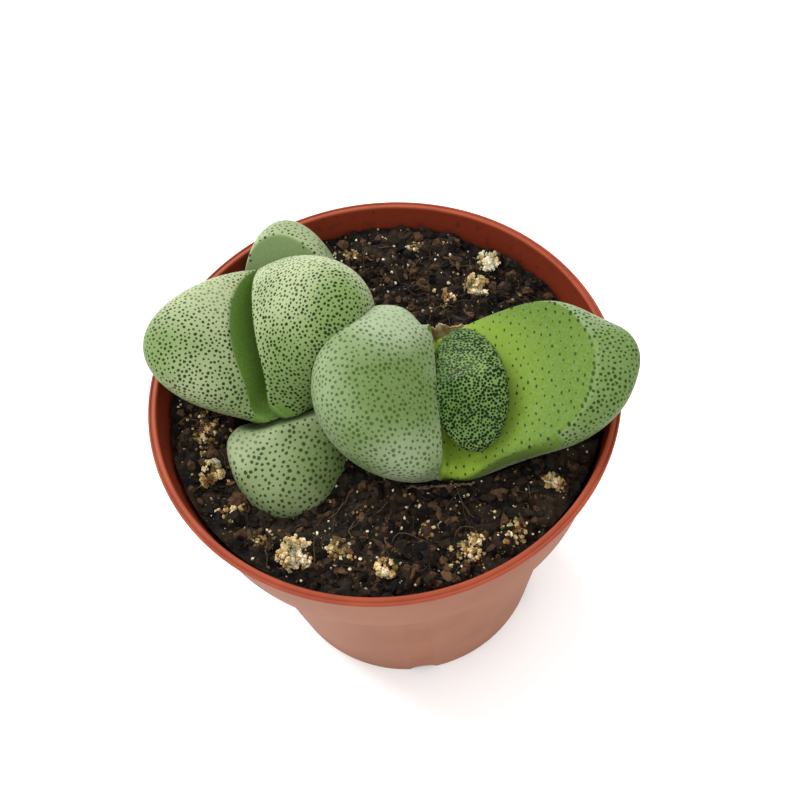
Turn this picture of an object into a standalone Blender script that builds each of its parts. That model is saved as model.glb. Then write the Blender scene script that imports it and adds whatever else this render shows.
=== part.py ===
"""A potted split rock: two heads of paired, fat leaves in gritty soil, in a small plastic pot.

Metres, +Z up. The origin is the middle of the pot's flat underside, on the surface it stands on.
Sizes below are in millimetres and are turned into metres where the shapes are made.
"""
import math

import bmesh
import bpy
from mathutils import Matrix, Vector, noise
from mathutils.bvhtree import BVHTree

MM = 0.001
# Room between touching pieces, in millimetres
GAP = 0.3

# Pot, in millimetres
POT_HEIGHT = 58.0
POT_RIM_RADIUS = 32.5
POT_LIP_WIDTH = 1.2
POT_BEAD_HEIGHT = 0.8
POT_COLLAR_HEIGHT = 14.0
POT_COLLAR_TOP_RADIUS = 32.0
POT_COLLAR_FOOT_RADIUS = 30.1
POT_BODY_TOP_RADIUS = 27.5
POT_BASE_RADIUS = 22.5
POT_WALL = 0.8
POT_FLOOR = 1.0
POT_EDGE_ROUND = 0.25
POT_FOOT_ROUND = 0.6
# The inner shelf under the collar lies this much higher than the collar's foot
POT_SHELF = 1.4 * POT_WALL
POT_STEPS = 64
DRAIN_COUNT = 6
DRAIN_RADIUS = 2.2
DRAIN_DEPTH = 6.0
# Sides of the round bars that cut holes
ROUND_STEPS = 16

# Soil, in millimetres
SOIL_LEVEL = 54.6
SOIL_RIM_DROP = 0.9
SOIL_ROUGHNESS = 0.9
SOIL_FINE_WAVE = 5.5
SOIL_BROAD_WAVE = 12.1
# Shares of the roughness that the broad and the fine waves take, and where each is read in the noise
SOIL_BROAD_SHARE = 1.1
SOIL_FINE_SHARE = 0.8
SOIL_BROAD_SLICE = 4.7
SOIL_FINE_SLICE = 9.1
SOIL_SIDE_GAP = 0.45
SOIL_RINGS = 19
SOIL_STEPS = 72
NEST_CLEARANCE = 0.6

# Leaf pairs, in millimetres and degrees. "valley" is the middle of the split's floor. "turn" turns the pair
# about the vertical, "lean" tips it across the split and "rise" lifts the far end of the split.
RIGHT_OLD_PAIR = {
    "valley": (7.4, -4.8, 57.0), "turn": -3.8, "lean": 24.5, "rise": 10.1,
    "half_split": 10.2, "depth": 9.2, "end_rise": 3.3, "waist": 0.0,
    "near": {"face": 22.7, "open": 38.7, "hollow": -0.36, "swell": 17.1, "swell_up": 66.9, "foot": 16.5,
             "widen": 0.25, "sweep": 2.3, "blunt": 0.67},
    "far": {"face": 7.0, "open": 25.7, "hollow": -0.46, "swell": 23.9, "swell_up": 47.5, "foot": 23.6,
            "widen": 0.68, "sweep": 1.4, "blunt": 1.2},
}
LEFT_YOUNG_PAIR = {
    "valley": (-13.6, 8.8, 56.8), "turn": 2.7, "lean": -10.8, "rise": 12.5,
    "half_split": 11.5, "depth": 4.9, "end_rise": 3.6, "waist": 0.45,
    "near": {"face": 11.1, "open": -2.3, "hollow": 0.0, "swell": 28.0, "swell_up": 25.2, "foot": 17.6,
             "widen": -0.04, "sweep": -1.2, "blunt": 1.1},
    "far": {"face": 10.5, "open": 25.1, "hollow": 0.2, "swell": 23.5, "swell_up": 62.1, "foot": 18.3,
            "widen": 0.01, "sweep": -0.9, "blunt": 1.22},
}
LEFT_OLD_PAIR = {
    "valley": (-10.4, 4.6, 50.6), "turn": 81.3, "lean": -0.8, "rise": -6.3,
    "half_split": 8.4, "depth": 5.7, "end_rise": 3.2, "waist": 0.2,
    "near": {"face": 22.9, "open": 50.0, "hollow": 0.5, "swell": 15.8, "swell_up": 34.9, "foot": 14.4,
             "widen": -0.16, "sweep": 3.1, "blunt": 0.62},
    "far": {"face": 16.8, "open": 46.2, "hollow": 0.5, "swell": 15.3, "swell_up": 19.3, "foot": 23.4,
            "widen": 0.13, "sweep": 1.9, "blunt": 0.6},
}
RIGHT_YOUNG_PAIR = {
    "valley": (11.2, -5.8, 64.5), "turn": 93.8, "lean": -6.6, "rise": -12.1,
    "half_split": 4.9, "depth": 4.6, "end_rise": 1.2, "waist": 0.18,
    "near": {"face": 2.0, "open": 67.0, "hollow": 0.0, "swell": 11.3, "swell_up": 55.2, "foot": 10.2,
             "widen": -0.1, "sweep": 0.0, "blunt": 0.83},
    "far": {"face": 1.8, "open": 68.1, "hollow": 0.0, "swell": 10.7, "swell_up": 49.9, "foot": 10.5,
            "widen": 0.12, "sweep": 1.3, "blunt": 0.68},
}
PAIRS = {
    "left_old_pair": LEFT_OLD_PAIR,
    "left_young_pair": LEFT_YOUNG_PAIR,
    "right_old_pair": RIGHT_OLD_PAIR,
    "right_young_pair": RIGHT_YOUNG_PAIR,
}
# Steps along a face, steps along a back, and rings from one end of the split to the other
PAIR_STEPS = {
    "left_old_pair": (6, 13, 20),
    "left_young_pair": (6, 14, 22),
    "right_old_pair": (7, 15, 24),
    "right_young_pair": (5, 9, 16),
}
# How long a back stays full on its way down, and how soon a leaf's own bluntness takes over from the pair's
BACK_FULLNESS = 1.5
LEAF_OWN_SHARE = 2.0
# Leaves that grow against each other press flat: each pair here gives way to the pairs after it
GIVES_WAY_TO = {
    "left_old_pair": ("right_old_pair",),
    "left_young_pair": ("right_old_pair", "left_old_pair"),
    "right_young_pair": ("right_old_pair",),
}
PRESS_CLEARANCE = 0.35
# Steps of the plain bulging shapes that press and nest: along a face, along a back, and rings
HULL_STEPS = (4, 12, 20)

# Taproots: top radius, tip radius, length and how far each wanders, in millimetres
ROOT_TOP_RADIUS = 1.6
ROOT_TIP_RADIUS = 0.5
ROOT_LENGTH = 27.0
ROOT_WANDER = 0.35
ROOT_POINTS = 12
# Turns of the wander across and along, and how soon the root narrows
ROOT_TWIST = (5.0, 4.0)
ROOT_NARROWING = 0.8
# The hole for a root is this much wider at its tip, and reaches this far up into the hollow under the head
ROOT_HOLE_TIP_ROOM = 0.9
ROOT_HOLE_RISE = 4.0

# Dried leaf remains round the right head: heading, spread and the heights of the lower and upper edge
SHEATHS = {
    "dried_sheath_back": {"heading": 80.0, "spread": 42.0, "low": 55.2, "high": 60.2, "ragged": 0.9},
    "dried_sheath_front": {"heading": 262.0, "spread": 46.0, "low": 53.6, "high": 56.6, "ragged": 0.7},
}
SHEATH_THICKNESS = 0.4
SHEATH_STEPS = 14
SHEATH_STAND_OFF = 0.7
# The slot for a strip in the soil opens into the hollow round the head
SHEATH_SLOT = 3.0
SHEATH_SLOT_SPREAD = 7.0
SHEATH_SLOT_DEPTH = 0.6
SHEATH_SLOT_RISE = 2.0
SHEATH_SLOT_OUTER_ROOM = 0.4
SHEATH_FLARE = 0.5
# A strip is lower at its two ends by this share, and its ragged edge has this many waves
SHEATH_END_DROP = 0.35
SHEATH_RAGGED_WAVES = 9.0
# The strip keeps clear of the head's side within this many degrees and millimetres round each of its points
SHEATH_PATCH_TURN = 4.0
SHEATH_PATCH_RISE = 0.8
# Where rays toward a head start, well outside the pot
FAR_OUT = 50.0 * MM

# Lumps of pale grit half sunk in the soil: place, radius and seed
GRIT_LUMPS = {
    "grit_lump_front": (-14.0, -22.4, 2.8, 3),
    "grit_lump_back": (18.0, 20.6, 1.9, 11),
    "grit_lump_back_right": (15.6, 15.9, 2.1, 27),
    "grit_lump_front_middle": (-2.6, -26.2, 1.5, 38),
    "grit_lump_front_right": (20.6, -17.6, 1.7, 41),
    "grit_lump_left": (-25.0, -8.6, 2.0, 56),
}
GRIT_SQUASH = 0.72
GRIT_LUMPINESS = 0.5
GRIT_LUMP_WAVES = 2.0
GRIT_RISE = 0.35
GRIT_HOLLOW_GAP = 0.35


def clear_scene():
    """Removes what the file holds before the model is made."""
    for thing in list(bpy.data.objects):
        bpy.data.objects.remove(thing, do_unlink=True)


def make_collection(name):
    """A collection in the scene, for the parts or for the cutters."""
    box = bpy.data.collections.new(name)
    bpy.context.scene.collection.children.link(box)
    return box


def make_material(name, color, roughness, subsurface=0.0):
    """A plain Principled BSDF material, never metallic here."""
    material = bpy.data.materials.new(name)
    material.use_nodes = True
    shader = material.node_tree.nodes["Principled BSDF"]
    shader.inputs["Base Color"].default_value = (*color, 1.0)
    shader.inputs["Roughness"].default_value = roughness
    shader.inputs["Metallic"].default_value = 0.0
    shader.inputs["Subsurface Weight"].default_value = subsurface
    return material


def plastic_material():
    """Terracotta coloured pot plastic."""
    return make_material("terracotta_plastic", (0.42, 0.09, 0.04), 0.45)


def soil_material():
    """Dark damp peat."""
    return make_material("dark_soil", (0.028, 0.016, 0.010), 0.95)


def grey_leaf_material():
    """Old leaves and the large young pair: waxy grey green skin."""
    return make_material("grey_green_leaf", (0.34, 0.45, 0.25), 0.55, 0.1)


def young_leaf_material():
    """The small new body: deeper green."""
    return make_material("young_green_leaf", (0.14, 0.26, 0.12), 0.5, 0.1)


def root_material():
    """Woody taproot."""
    return make_material("brown_root", (0.22, 0.12, 0.06), 0.8)


def sheath_material():
    """Papery dried leaf remains."""
    return make_material("papery_sheath", (0.46, 0.33, 0.18), 0.85)


def grit_material():
    """Cream coloured mineral grit."""
    return make_material("cream_grit", (0.62, 0.52, 0.36), 0.9)


def finish_mesh(name, mesh_bm, material, collection, smooth_angle=math.radians(40)):
    """Turns a bmesh into a named object whose faces point outward."""
    bmesh.ops.recalc_face_normals(mesh_bm, faces=mesh_bm.faces)
    mesh = bpy.data.meshes.new(name)
    mesh_bm.to_mesh(mesh)
    mesh_bm.free()
    mesh.materials.append(material)
    mesh.shade_smooth()
    mesh.set_sharp_from_angle(angle=smooth_angle)
    thing = bpy.data.objects.new(name, mesh)
    collection.objects.link(thing)
    return thing


def cutter_from(name, mesh_bm, collection):
    """A hidden object that only cuts others."""
    bmesh.ops.recalc_face_normals(mesh_bm, faces=mesh_bm.faces)
    mesh = bpy.data.meshes.new(name)
    mesh_bm.to_mesh(mesh)
    mesh_bm.free()
    thing = bpy.data.objects.new(name, mesh)
    collection.objects.link(thing)
    thing.hide_render = True
    thing.display_type = "WIRE"
    return thing


def cut(thing, cutter):
    """Takes the cutter's shape out of an object."""
    modifier = thing.modifiers.new("Cut " + cutter.name, "BOOLEAN")
    modifier.operation = "DIFFERENCE"
    modifier.solver = "EXACT"
    modifier.object = cutter


def curve_point(points, t):
    """A point on the Bezier curve of three or four control points."""
    while len(points) > 1:
        points = [a.lerp(b, t) for a, b in zip(points, points[1:])]
    return points[0]


def leaf_profile(leaf, sign, depth, face_steps, back_steps):
    """One leaf's section across the split: up its inner face to the margin, then down its back to the base."""
    opening = math.radians(leaf["open"])
    lift = math.radians(leaf["swell_up"])
    up_face = Vector((math.sin(opening), math.cos(opening)))
    off_face = Vector((math.cos(opening), -math.sin(opening)))
    valley = Vector((0.0, 0.0))
    margin = leaf["face"] * up_face
    face = [valley, 0.5 * margin - leaf["hollow"] * off_face, margin]
    shoulder = margin + leaf["swell"] * (math.cos(lift) * off_face + math.sin(lift) * up_face)
    back = [margin, shoulder, Vector((leaf["foot"], -depth)), Vector((0.0, -depth))]
    points = []
    for step in range(face_steps):
        t = step / face_steps
        points.append((curve_point(face, t), math.sin(math.pi * 0.5 * t)))
    for step in range(back_steps):
        t = step / back_steps
        points.append((curve_point(back, t), math.cos(math.pi * 0.5 * t ** BACK_FULLNESS)))
    return [(sign * point.x, point.y, fullness) for point, fullness in points]


def pair_profile(pair, face_steps, back_steps):
    """The closed section of a leaf pair: near leaf, base, far leaf.

    Each point holds its place across and up, and how fully it belongs to the near and to the far leaf.
    """
    near = leaf_profile(pair["near"], 1, pair["depth"], face_steps, back_steps)
    far = leaf_profile(pair["far"], -1, pair["depth"], face_steps, back_steps)
    loop = [(across, up, fullness, 0.0) for across, up, fullness in near]
    loop.append((0.0, -pair["depth"], 0.0, 0.0))
    loop += [(across, up, 0.0, fullness) for across, up, fullness in far[:0:-1]]
    return loop


def pair_point(pair, section, angle):
    """A point of the pair: the section shrinks by the cosine of the angle toward both ends of the split."""
    across, up, near_full, far_full = section
    near, far = pair["near"], pair["far"]
    own = min(1.0, LEAF_OWN_SHARE * (near_full + far_full))
    own_blunt = near["blunt"] if near_full > 0.0 else far["blunt"]
    blunt = 0.5 * (near["blunt"] + far["blunt"]) * (1.0 - own) + own_blunt * own
    shrink = max(math.cos(angle), 0.0) ** blunt
    low = min(max(-up / pair["depth"], 0.0), 1.0)
    widen = near["widen"] * near_full + far["widen"] * far_full - pair["waist"] * low
    sweep = near["sweep"] * near_full + far["sweep"] * far_full
    along = pair["half_split"] * math.sin(angle) * (1.0 + widen * math.cos(angle)) + sweep * math.cos(angle)
    middle = 0.5 * pair["depth"]
    height = (up + middle) * shrink - middle + pair["end_rise"] * math.sin(angle) ** 2
    point = Vector((across * shrink, along, height))
    turn = Matrix.Rotation(math.radians(pair["turn"]), 3, "Z")
    rise = Matrix.Rotation(math.radians(pair["rise"]), 3, "X")
    lean = Matrix.Rotation(math.radians(pair["lean"]), 3, "Y")
    return MM * (Vector(pair["valley"]) + turn @ rise @ lean @ point)


def grow_pair(pair, face_steps, back_steps, rings):
    """A round ball of faces reshaped into a leaf pair; its two poles are the ends of the split.

    The ball's first meridian is on its Y axis, so places round it are counted from there.
    """
    loop = pair_profile(pair, face_steps, back_steps)
    count = len(loop)
    ball = bmesh.new()
    bmesh.ops.create_uvsphere(ball, u_segments=count, v_segments=rings, radius=1.0)
    for vert in ball.verts:
        angle = math.asin(min(max(vert.co.z, -1.0), 1.0))
        around = round(math.atan2(-vert.co.x, vert.co.y) / (2.0 * math.pi) * count) % count
        vert.co = pair_point(pair, loop[around], angle)
    bmesh.ops.recalc_face_normals(ball, faces=ball.faces)
    ball.normal_update()
    return ball


def swell(ball, clearance):
    """Moves a closed shape's surface outward by the clearance."""
    ball.normal_update()
    shifts = [vert.normal * clearance * MM for vert in ball.verts]
    for vert, shift in zip(ball.verts, shifts):
        vert.co += shift


def bulge(pair, sides, clearance):
    """The plain bulging shape round one leaf of a pair or round both, a little swelled."""
    face_steps, back_steps, rings = HULL_STEPS
    shape = bmesh.new()
    for section in pair_profile(pair, face_steps, back_steps):
        if any(side * section[0] >= 0.0 for side in sides):
            for ring in range(rings + 1):
                shape.verts.new(pair_point(pair, section, math.pi * (ring / rings - 0.5)))
    bmesh.ops.remove_doubles(shape, verts=shape.verts, dist=0.01 * MM)
    inside = bmesh.ops.convex_hull(shape, input=shape.verts)["geom_interior"]
    bmesh.ops.delete(shape, geom=inside, context="VERTS")
    bmesh.ops.recalc_face_normals(shape, faces=shape.faces)
    swell(shape, clearance)
    return shape


def press(things, cutters):
    """Flattens each yielding pair where it lies against a neighbour's two leaves."""
    for name, neighbours in GIVES_WAY_TO.items():
        for neighbour in neighbours:
            for side, leaf in ((1, "near"), (-1, "far")):
                shape = bulge(PAIRS[neighbour], (side,), PRESS_CLEARANCE)
                cut(things[name], cutter_from(f"{neighbour}_{leaf}_presses_{name}", shape, cutters))


def build_pairs(parts, cutters, materials):
    """The four leaf pairs; the right old pair keeps its shape and the others give way to it."""
    things = {}
    for name, pair in PAIRS.items():
        material = materials["young"] if name == "right_young_pair" else materials["grey"]
        things[name] = finish_mesh(name, grow_pair(pair, *PAIR_STEPS[name]), material, parts)
    press(things, cutters)
    return things


def pot_outer_radius(z):
    """Outer radius of the tapered body below the collar, in millimetres."""
    share = z / (POT_HEIGHT - POT_COLLAR_HEIGHT)
    return POT_BASE_RADIUS + share * (POT_BODY_TOP_RADIUS - POT_BASE_RADIUS)


def collar_outer_radius(z):
    """Outer radius of the collar, in millimetres."""
    foot = POT_HEIGHT - POT_COLLAR_HEIGHT
    share = (z - foot) / (POT_COLLAR_HEIGHT - POT_BEAD_HEIGHT)
    return POT_COLLAR_FOOT_RADIUS + share * (POT_COLLAR_TOP_RADIUS - POT_COLLAR_FOOT_RADIUS)


def turned_object(name, profile, steps, material, collection):
    """A profile of (radius, height) points in millimetres, turned about Z with a Screw modifier."""
    bm = bmesh.new()
    points = [bm.verts.new((radius * MM, 0.0, height * MM)) for radius, height in profile]
    for first, second in zip(points, points[1:]):
        bm.edges.new((first, second))
    mesh = bpy.data.meshes.new(name)
    bm.to_mesh(mesh)
    bm.free()
    mesh.materials.append(material)
    thing = bpy.data.objects.new(name, mesh)
    collection.objects.link(thing)
    screw = thing.modifiers.new("Turn", "SCREW")
    screw.steps = steps
    screw.render_steps = steps
    screw.use_merge_vertices = True
    screw.merge_threshold = 0.00001
    screw.use_smooth_shade = True
    return thing


def pot_profile():
    """The pot's section, from the middle of its floor inside, over the lip and down its outer side."""
    foot = POT_HEIGHT - POT_COLLAR_HEIGHT
    under_bead = POT_HEIGHT - POT_BEAD_HEIGHT
    lip_inner = POT_RIM_RADIUS - POT_LIP_WIDTH
    edge = POT_EDGE_ROUND
    return [
        (0.0, POT_FLOOR),
        (pot_outer_radius(POT_FLOOR) - POT_WALL, POT_FLOOR),
        (pot_outer_radius(foot) - POT_WALL, foot + POT_WALL),
        (collar_outer_radius(foot + POT_WALL) - POT_WALL, foot + POT_SHELF),
        (lip_inner, POT_HEIGHT - edge),
        (lip_inner + edge, POT_HEIGHT),
        (POT_RIM_RADIUS - edge, POT_HEIGHT),
        (POT_RIM_RADIUS, POT_HEIGHT - edge),
        (POT_RIM_RADIUS, under_bead + 0.5 * edge),
        (collar_outer_radius(under_bead - 0.5 * edge), under_bead - 0.5 * edge),
        (POT_COLLAR_FOOT_RADIUS, foot + edge),
        (POT_COLLAR_FOOT_RADIUS - edge, foot),
        (pot_outer_radius(foot), foot),
        (pot_outer_radius(POT_FOOT_ROUND), POT_FOOT_ROUND),
        (POT_BASE_RADIUS - POT_FOOT_ROUND, 0.0),
        (0.0, 0.0),
    ]


def drain_cutter(index, cutters):
    """A short round bar that cuts one drain hole through the bottom edge of the pot."""
    bar = bmesh.new()
    heading = 2.0 * math.pi * (index + 0.5) / DRAIN_COUNT
    place = Matrix.Rotation(heading, 4, "Z") @ Matrix.Translation((MM * POT_BASE_RADIUS, 0.0, 0.0))
    lay = Matrix.Rotation(math.pi / 2.0, 4, "Y")
    bmesh.ops.create_cone(bar, cap_ends=True, segments=ROUND_STEPS, radius1=DRAIN_RADIUS * MM,
                          radius2=DRAIN_RADIUS * MM, depth=DRAIN_DEPTH * MM, matrix=place @ lay)
    return cutter_from(f"drain_cutter_{index}", bar, cutters)


def build_pot(parts, cutters, material):
    """The pot: tapered body, stepped collar, beaded rim with a flat lip, and drain holes low on its edge."""
    pot = turned_object("pot", pot_profile(), POT_STEPS, material, parts)
    for index in range(DRAIN_COUNT):
        cut(pot, drain_cutter(index, cutters))
    return pot


def soil_height(x, y):
    """Height of the soil's surface at a place, in millimetres: uneven, and a little lower along the pot."""
    radius = math.hypot(x, y) / POT_RIM_RADIUS
    broad = noise.noise(Vector((x / SOIL_BROAD_WAVE, y / SOIL_BROAD_WAVE, SOIL_BROAD_SLICE)))
    fine = noise.noise(Vector((x / SOIL_FINE_WAVE, y / SOIL_FINE_WAVE, SOIL_FINE_SLICE)))
    waves = SOIL_BROAD_SHARE * broad + SOIL_FINE_SHARE * fine
    return SOIL_LEVEL - SOIL_RIM_DROP * radius ** 4 + SOIL_ROUGHNESS * waves


def soil_profile():
    """The soil's section down its outer side: the top from the middle out, then the pot's stepped inside."""
    foot = POT_HEIGHT - POT_COLLAR_HEIGHT
    side_room = POT_WALL + SOIL_SIDE_GAP
    shelf = foot + POT_SHELF + SOIL_SIDE_GAP
    edge = collar_outer_radius(SOIL_LEVEL - SOIL_RIM_DROP) - side_room
    profile = [(edge * step / SOIL_RINGS, SOIL_LEVEL) for step in range(SOIL_RINGS + 1)]
    profile.append((collar_outer_radius(shelf) - side_room, shelf))
    profile.append((pot_outer_radius(foot) - side_room, shelf))
    profile.append((pot_outer_radius(POT_FLOOR) - side_room, POT_FLOOR + GAP))
    profile.append((0.0, POT_FLOOR + GAP))
    return profile


def build_soil(parts, material):
    """The root ball of soil that fills the pot, with an uneven top."""
    bm = bmesh.new()
    points = [bm.verts.new((radius * MM, 0.0, height * MM)) for radius, height in soil_profile()]
    edges = [bm.edges.new(pair) for pair in zip(points, points[1:])]
    bmesh.ops.spin(bm, geom=points + edges, axis=(0, 0, 1), cent=(0, 0, 0), angle=2.0 * math.pi,
                   steps=SOIL_STEPS, use_merge=True)
    bmesh.ops.remove_doubles(bm, verts=bm.verts, dist=1e-6)
    for vert in bm.verts:
        if vert.co.z > (SOIL_LEVEL - 0.01) * MM:
            vert.co.z = MM * soil_height(vert.co.x / MM, vert.co.y / MM)
    return finish_mesh("soil", bm, material, parts)


def nest_soil(soil, cutters):
    """Sinks the two heads into the soil, with a little room round them."""
    for name in ("left_old_pair", "left_young_pair", "right_old_pair"):
        cut(soil, cutter_from(name + "_nest", bulge(PAIRS[name], (1, -1), NEST_CLEARANCE), cutters))


def lowest_point(thing):
    """The lowest point of an object's mesh."""
    return min((vert.co for vert in thing.data.vertices), key=lambda co: co.z).copy()


def root_path(top, phase):
    """Points down a taproot that wanders a little and narrows to its tip."""
    points = []
    for step in range(ROOT_POINTS):
        t = step / (ROOT_POINTS - 1)
        wander = ROOT_WANDER * MM * math.sin(math.pi * t)
        across, along = ROOT_TWIST
        shift = Vector((wander * math.cos(across * t + phase), wander * math.sin(along * t + phase), 0.0))
        radius = ROOT_TOP_RADIUS + (ROOT_TIP_RADIUS - ROOT_TOP_RADIUS) * t ** ROOT_NARROWING
        points.append((top + shift + Vector((0.0, 0.0, -ROOT_LENGTH * MM * t)), radius / ROOT_TOP_RADIUS))
    return points


def build_root(name, head, phase, parts, cutters, soil, material):
    """A taproot under a head, standing in a plain tapered hole in the soil."""
    top = lowest_point(head) - Vector((0.0, 0.0, 1.2 * GAP * MM))
    curve = bpy.data.curves.new(name, "CURVE")
    curve.dimensions = "3D"
    curve.bevel_depth = ROOT_TOP_RADIUS * MM
    curve.bevel_resolution = 2
    curve.use_fill_caps = True
    path = root_path(top, phase)
    spline = curve.splines.new("POLY")
    spline.points.add(len(path) - 1)
    for point, (place, radius) in zip(spline.points, path):
        point.co = (*place, 1.0)
        point.radius = radius
    curve.materials.append(material)
    root = bpy.data.objects.new(name, curve)
    parts.objects.link(root)
    room = ROOT_WANDER + GAP
    depth = ROOT_LENGTH + room
    shaft = bmesh.new()
    place = Matrix.Translation(top + Vector((0.0, 0.0, 0.5 * (ROOT_HOLE_RISE - depth) * MM)))
    tip_radius = ROOT_TIP_RADIUS + ROOT_HOLE_TIP_ROOM + room
    bmesh.ops.create_cone(shaft, cap_ends=True, segments=ROUND_STEPS, radius1=tip_radius * MM,
                          radius2=(ROOT_TOP_RADIUS + GAP + room) * MM, depth=(depth + ROOT_HOLE_RISE) * MM,
                          matrix=place)
    cut(soil, cutter_from(name + "_shaft", shaft, cutters))
    return root


def head_radius(tree, centre, heading, height):
    """How far a head's side stands out from its centre at a heading and height, the most of a small patch."""
    radius = 0.0
    for turn in (-SHEATH_PATCH_TURN, 0.0, SHEATH_PATCH_TURN):
        for step in (-SHEATH_PATCH_RISE, 0.0, SHEATH_PATCH_RISE):
            way = math.radians(heading + turn)
            out = Vector((math.cos(way), math.sin(way), 0.0))
            start = Vector((centre.x, centre.y, (height + step) * MM)) + FAR_OUT * out
            hit, normal, index, distance = tree.ray_cast(start, -out)
            if hit is not None:
                radius = max(radius, FAR_OUT - distance)
    return radius


def sheath_strip(sheath, tree, centre, stand_off):
    """The middle surface of a dried strip, a grid bent round the side of the head."""
    strip = bmesh.new()
    bmesh.ops.create_grid(strip, x_segments=SHEATH_STEPS, y_segments=4, size=1.0)
    for vert in strip.verts:
        heading = sheath["heading"] + 0.5 * sheath["spread"] * vert.co.x
        share = 0.5 + 0.5 * vert.co.y
        ragged = noise.noise(Vector((SHEATH_RAGGED_WAVES * vert.co.x, 3.0, sheath["heading"])))
        rise = sheath["high"] + sheath["ragged"] * ragged - sheath["low"]
        rise *= 1.0 - SHEATH_END_DROP * vert.co.x ** 4
        height = sheath["low"] + share * rise
        radius = head_radius(tree, centre, heading, height)
        away = radius + (stand_off + SHEATH_FLARE * share + 0.5 * SHEATH_THICKNESS) * MM
        way = math.radians(heading)
        vert.co = Vector((centre.x + away * math.cos(way), centre.y + away * math.sin(way), height * MM))
    return strip


def build_sheath(name, sheath, parts, cutters, soil, material):
    """A thin ragged strip of dried leaf that follows the side of the right head and stands in the soil."""
    head = bulge(RIGHT_OLD_PAIR, (1, -1), 0.0)
    tree = BVHTree.FromBMesh(head)
    head.free()
    centre = Vector(RIGHT_OLD_PAIR["valley"]) * MM
    strip = finish_mesh(name, sheath_strip(sheath, tree, centre, SHEATH_STAND_OFF), material, parts)
    inward = SHEATH_STAND_OFF - 0.5 * (SHEATH_SLOT - SHEATH_THICKNESS) + SHEATH_SLOT_OUTER_ROOM
    room = dict(sheath, spread=sheath["spread"] + SHEATH_SLOT_SPREAD, low=sheath["low"] - SHEATH_SLOT_DEPTH,
                high=sheath["high"] + SHEATH_SLOT_RISE)
    slot = cutter_from(name + "_slot", sheath_strip(room, tree, centre, inward), cutters)
    for thing, thickness in ((strip, SHEATH_THICKNESS), (slot, SHEATH_SLOT)):
        shell = thing.modifiers.new("Thickness", "SOLIDIFY")
        shell.thickness = thickness * MM
        shell.offset = 0.0
    cut(soil, slot)
    return strip


def grit_shape(x, y, radius, seed, clearance):
    """A knobbly lump: a ball of faces pushed in and out by smooth noise, squashed, and set into the soil."""
    lump = bmesh.new()
    bmesh.ops.create_icosphere(lump, subdivisions=3, radius=1.0)
    height = soil_height(x, y) + GRIT_RISE * radius
    for vert in lump.verts:
        bump = 1.0 + GRIT_LUMPINESS * noise.noise(GRIT_LUMP_WAVES * vert.co + Vector((seed, 0.0, 0.0)))
        scaled = vert.co * (radius * bump)
        scaled.z *= GRIT_SQUASH
        vert.co = MM * (Vector((x, y, height)) + scaled)
    if clearance:
        swell(lump, clearance)
    return lump


def build_grit(parts, cutters, soil, material):
    """The pale lumps of grit, each in its own hollow in the soil."""
    for name, (x, y, radius, seed) in GRIT_LUMPS.items():
        finish_mesh(name, grit_shape(x, y, radius, seed, 0.0), material, parts)
        cut(soil, cutter_from(name + "_hollow", grit_shape(x, y, radius, seed, GRIT_HOLLOW_GAP), cutters))


def main():
    """Builds the pot, the soil, the two heads, their roots, the dried remains and the grit."""
    clear_scene()
    parts = make_collection("potted_split_rock")
    cutters = make_collection("cutters")
    build_pot(parts, cutters, plastic_material())
    soil = build_soil(parts, soil_material())
    pairs = build_pairs(parts, cutters, {"grey": grey_leaf_material(), "young": young_leaf_material()})
    nest_soil(soil, cutters)
    brown = root_material()
    build_root("left_taproot", pairs["left_old_pair"], 0.4, parts, cutters, soil, brown)
    build_root("right_taproot", pairs["right_old_pair"], 2.1, parts, cutters, soil, brown)
    papery = sheath_material()
    for name, sheath in SHEATHS.items():
        build_sheath(name, sheath, parts, cutters, soil, papery)
    build_grit(parts, cutters, soil, grit_material())


main()
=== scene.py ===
"""A potted split rock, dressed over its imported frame: fine leaf skins with their dots, crumbly soil with grit,
bark and fibres, papery leaf remains and a dusty moulded pot.

Metres, +Z up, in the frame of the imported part. Sizes below are in millimetres and degrees unless a comment says
otherwise; they are turned into metres where a mesh is made.
"""
import itertools
import math

import bmesh
import bpy
import numpy as np
from mathutils import Matrix, Vector, noise


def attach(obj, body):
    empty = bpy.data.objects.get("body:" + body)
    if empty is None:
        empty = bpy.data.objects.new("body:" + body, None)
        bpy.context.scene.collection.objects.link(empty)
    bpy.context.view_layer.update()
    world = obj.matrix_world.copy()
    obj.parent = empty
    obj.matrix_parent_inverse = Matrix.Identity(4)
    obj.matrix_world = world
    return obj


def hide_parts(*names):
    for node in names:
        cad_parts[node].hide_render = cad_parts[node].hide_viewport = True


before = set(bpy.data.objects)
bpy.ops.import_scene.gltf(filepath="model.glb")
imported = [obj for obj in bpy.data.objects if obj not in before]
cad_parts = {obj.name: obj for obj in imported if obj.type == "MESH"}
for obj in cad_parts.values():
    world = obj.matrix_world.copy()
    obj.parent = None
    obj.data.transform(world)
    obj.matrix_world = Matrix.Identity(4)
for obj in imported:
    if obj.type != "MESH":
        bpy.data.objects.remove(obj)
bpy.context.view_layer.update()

MM = 0.001
# Closer than this counts as the same place
TOUCH = 0.01
# The large numbers that make the sine of a whole-numbered place look random
LATTICE_STRIDES = (127.1, 311.7, 74.7)
LATTICE_SEED_STRIDE = 53.3
LATTICE_SCALE = 43758.5453
# More cubes than any piece spans along one axis
CUBES_ACROSS = 4096

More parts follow.
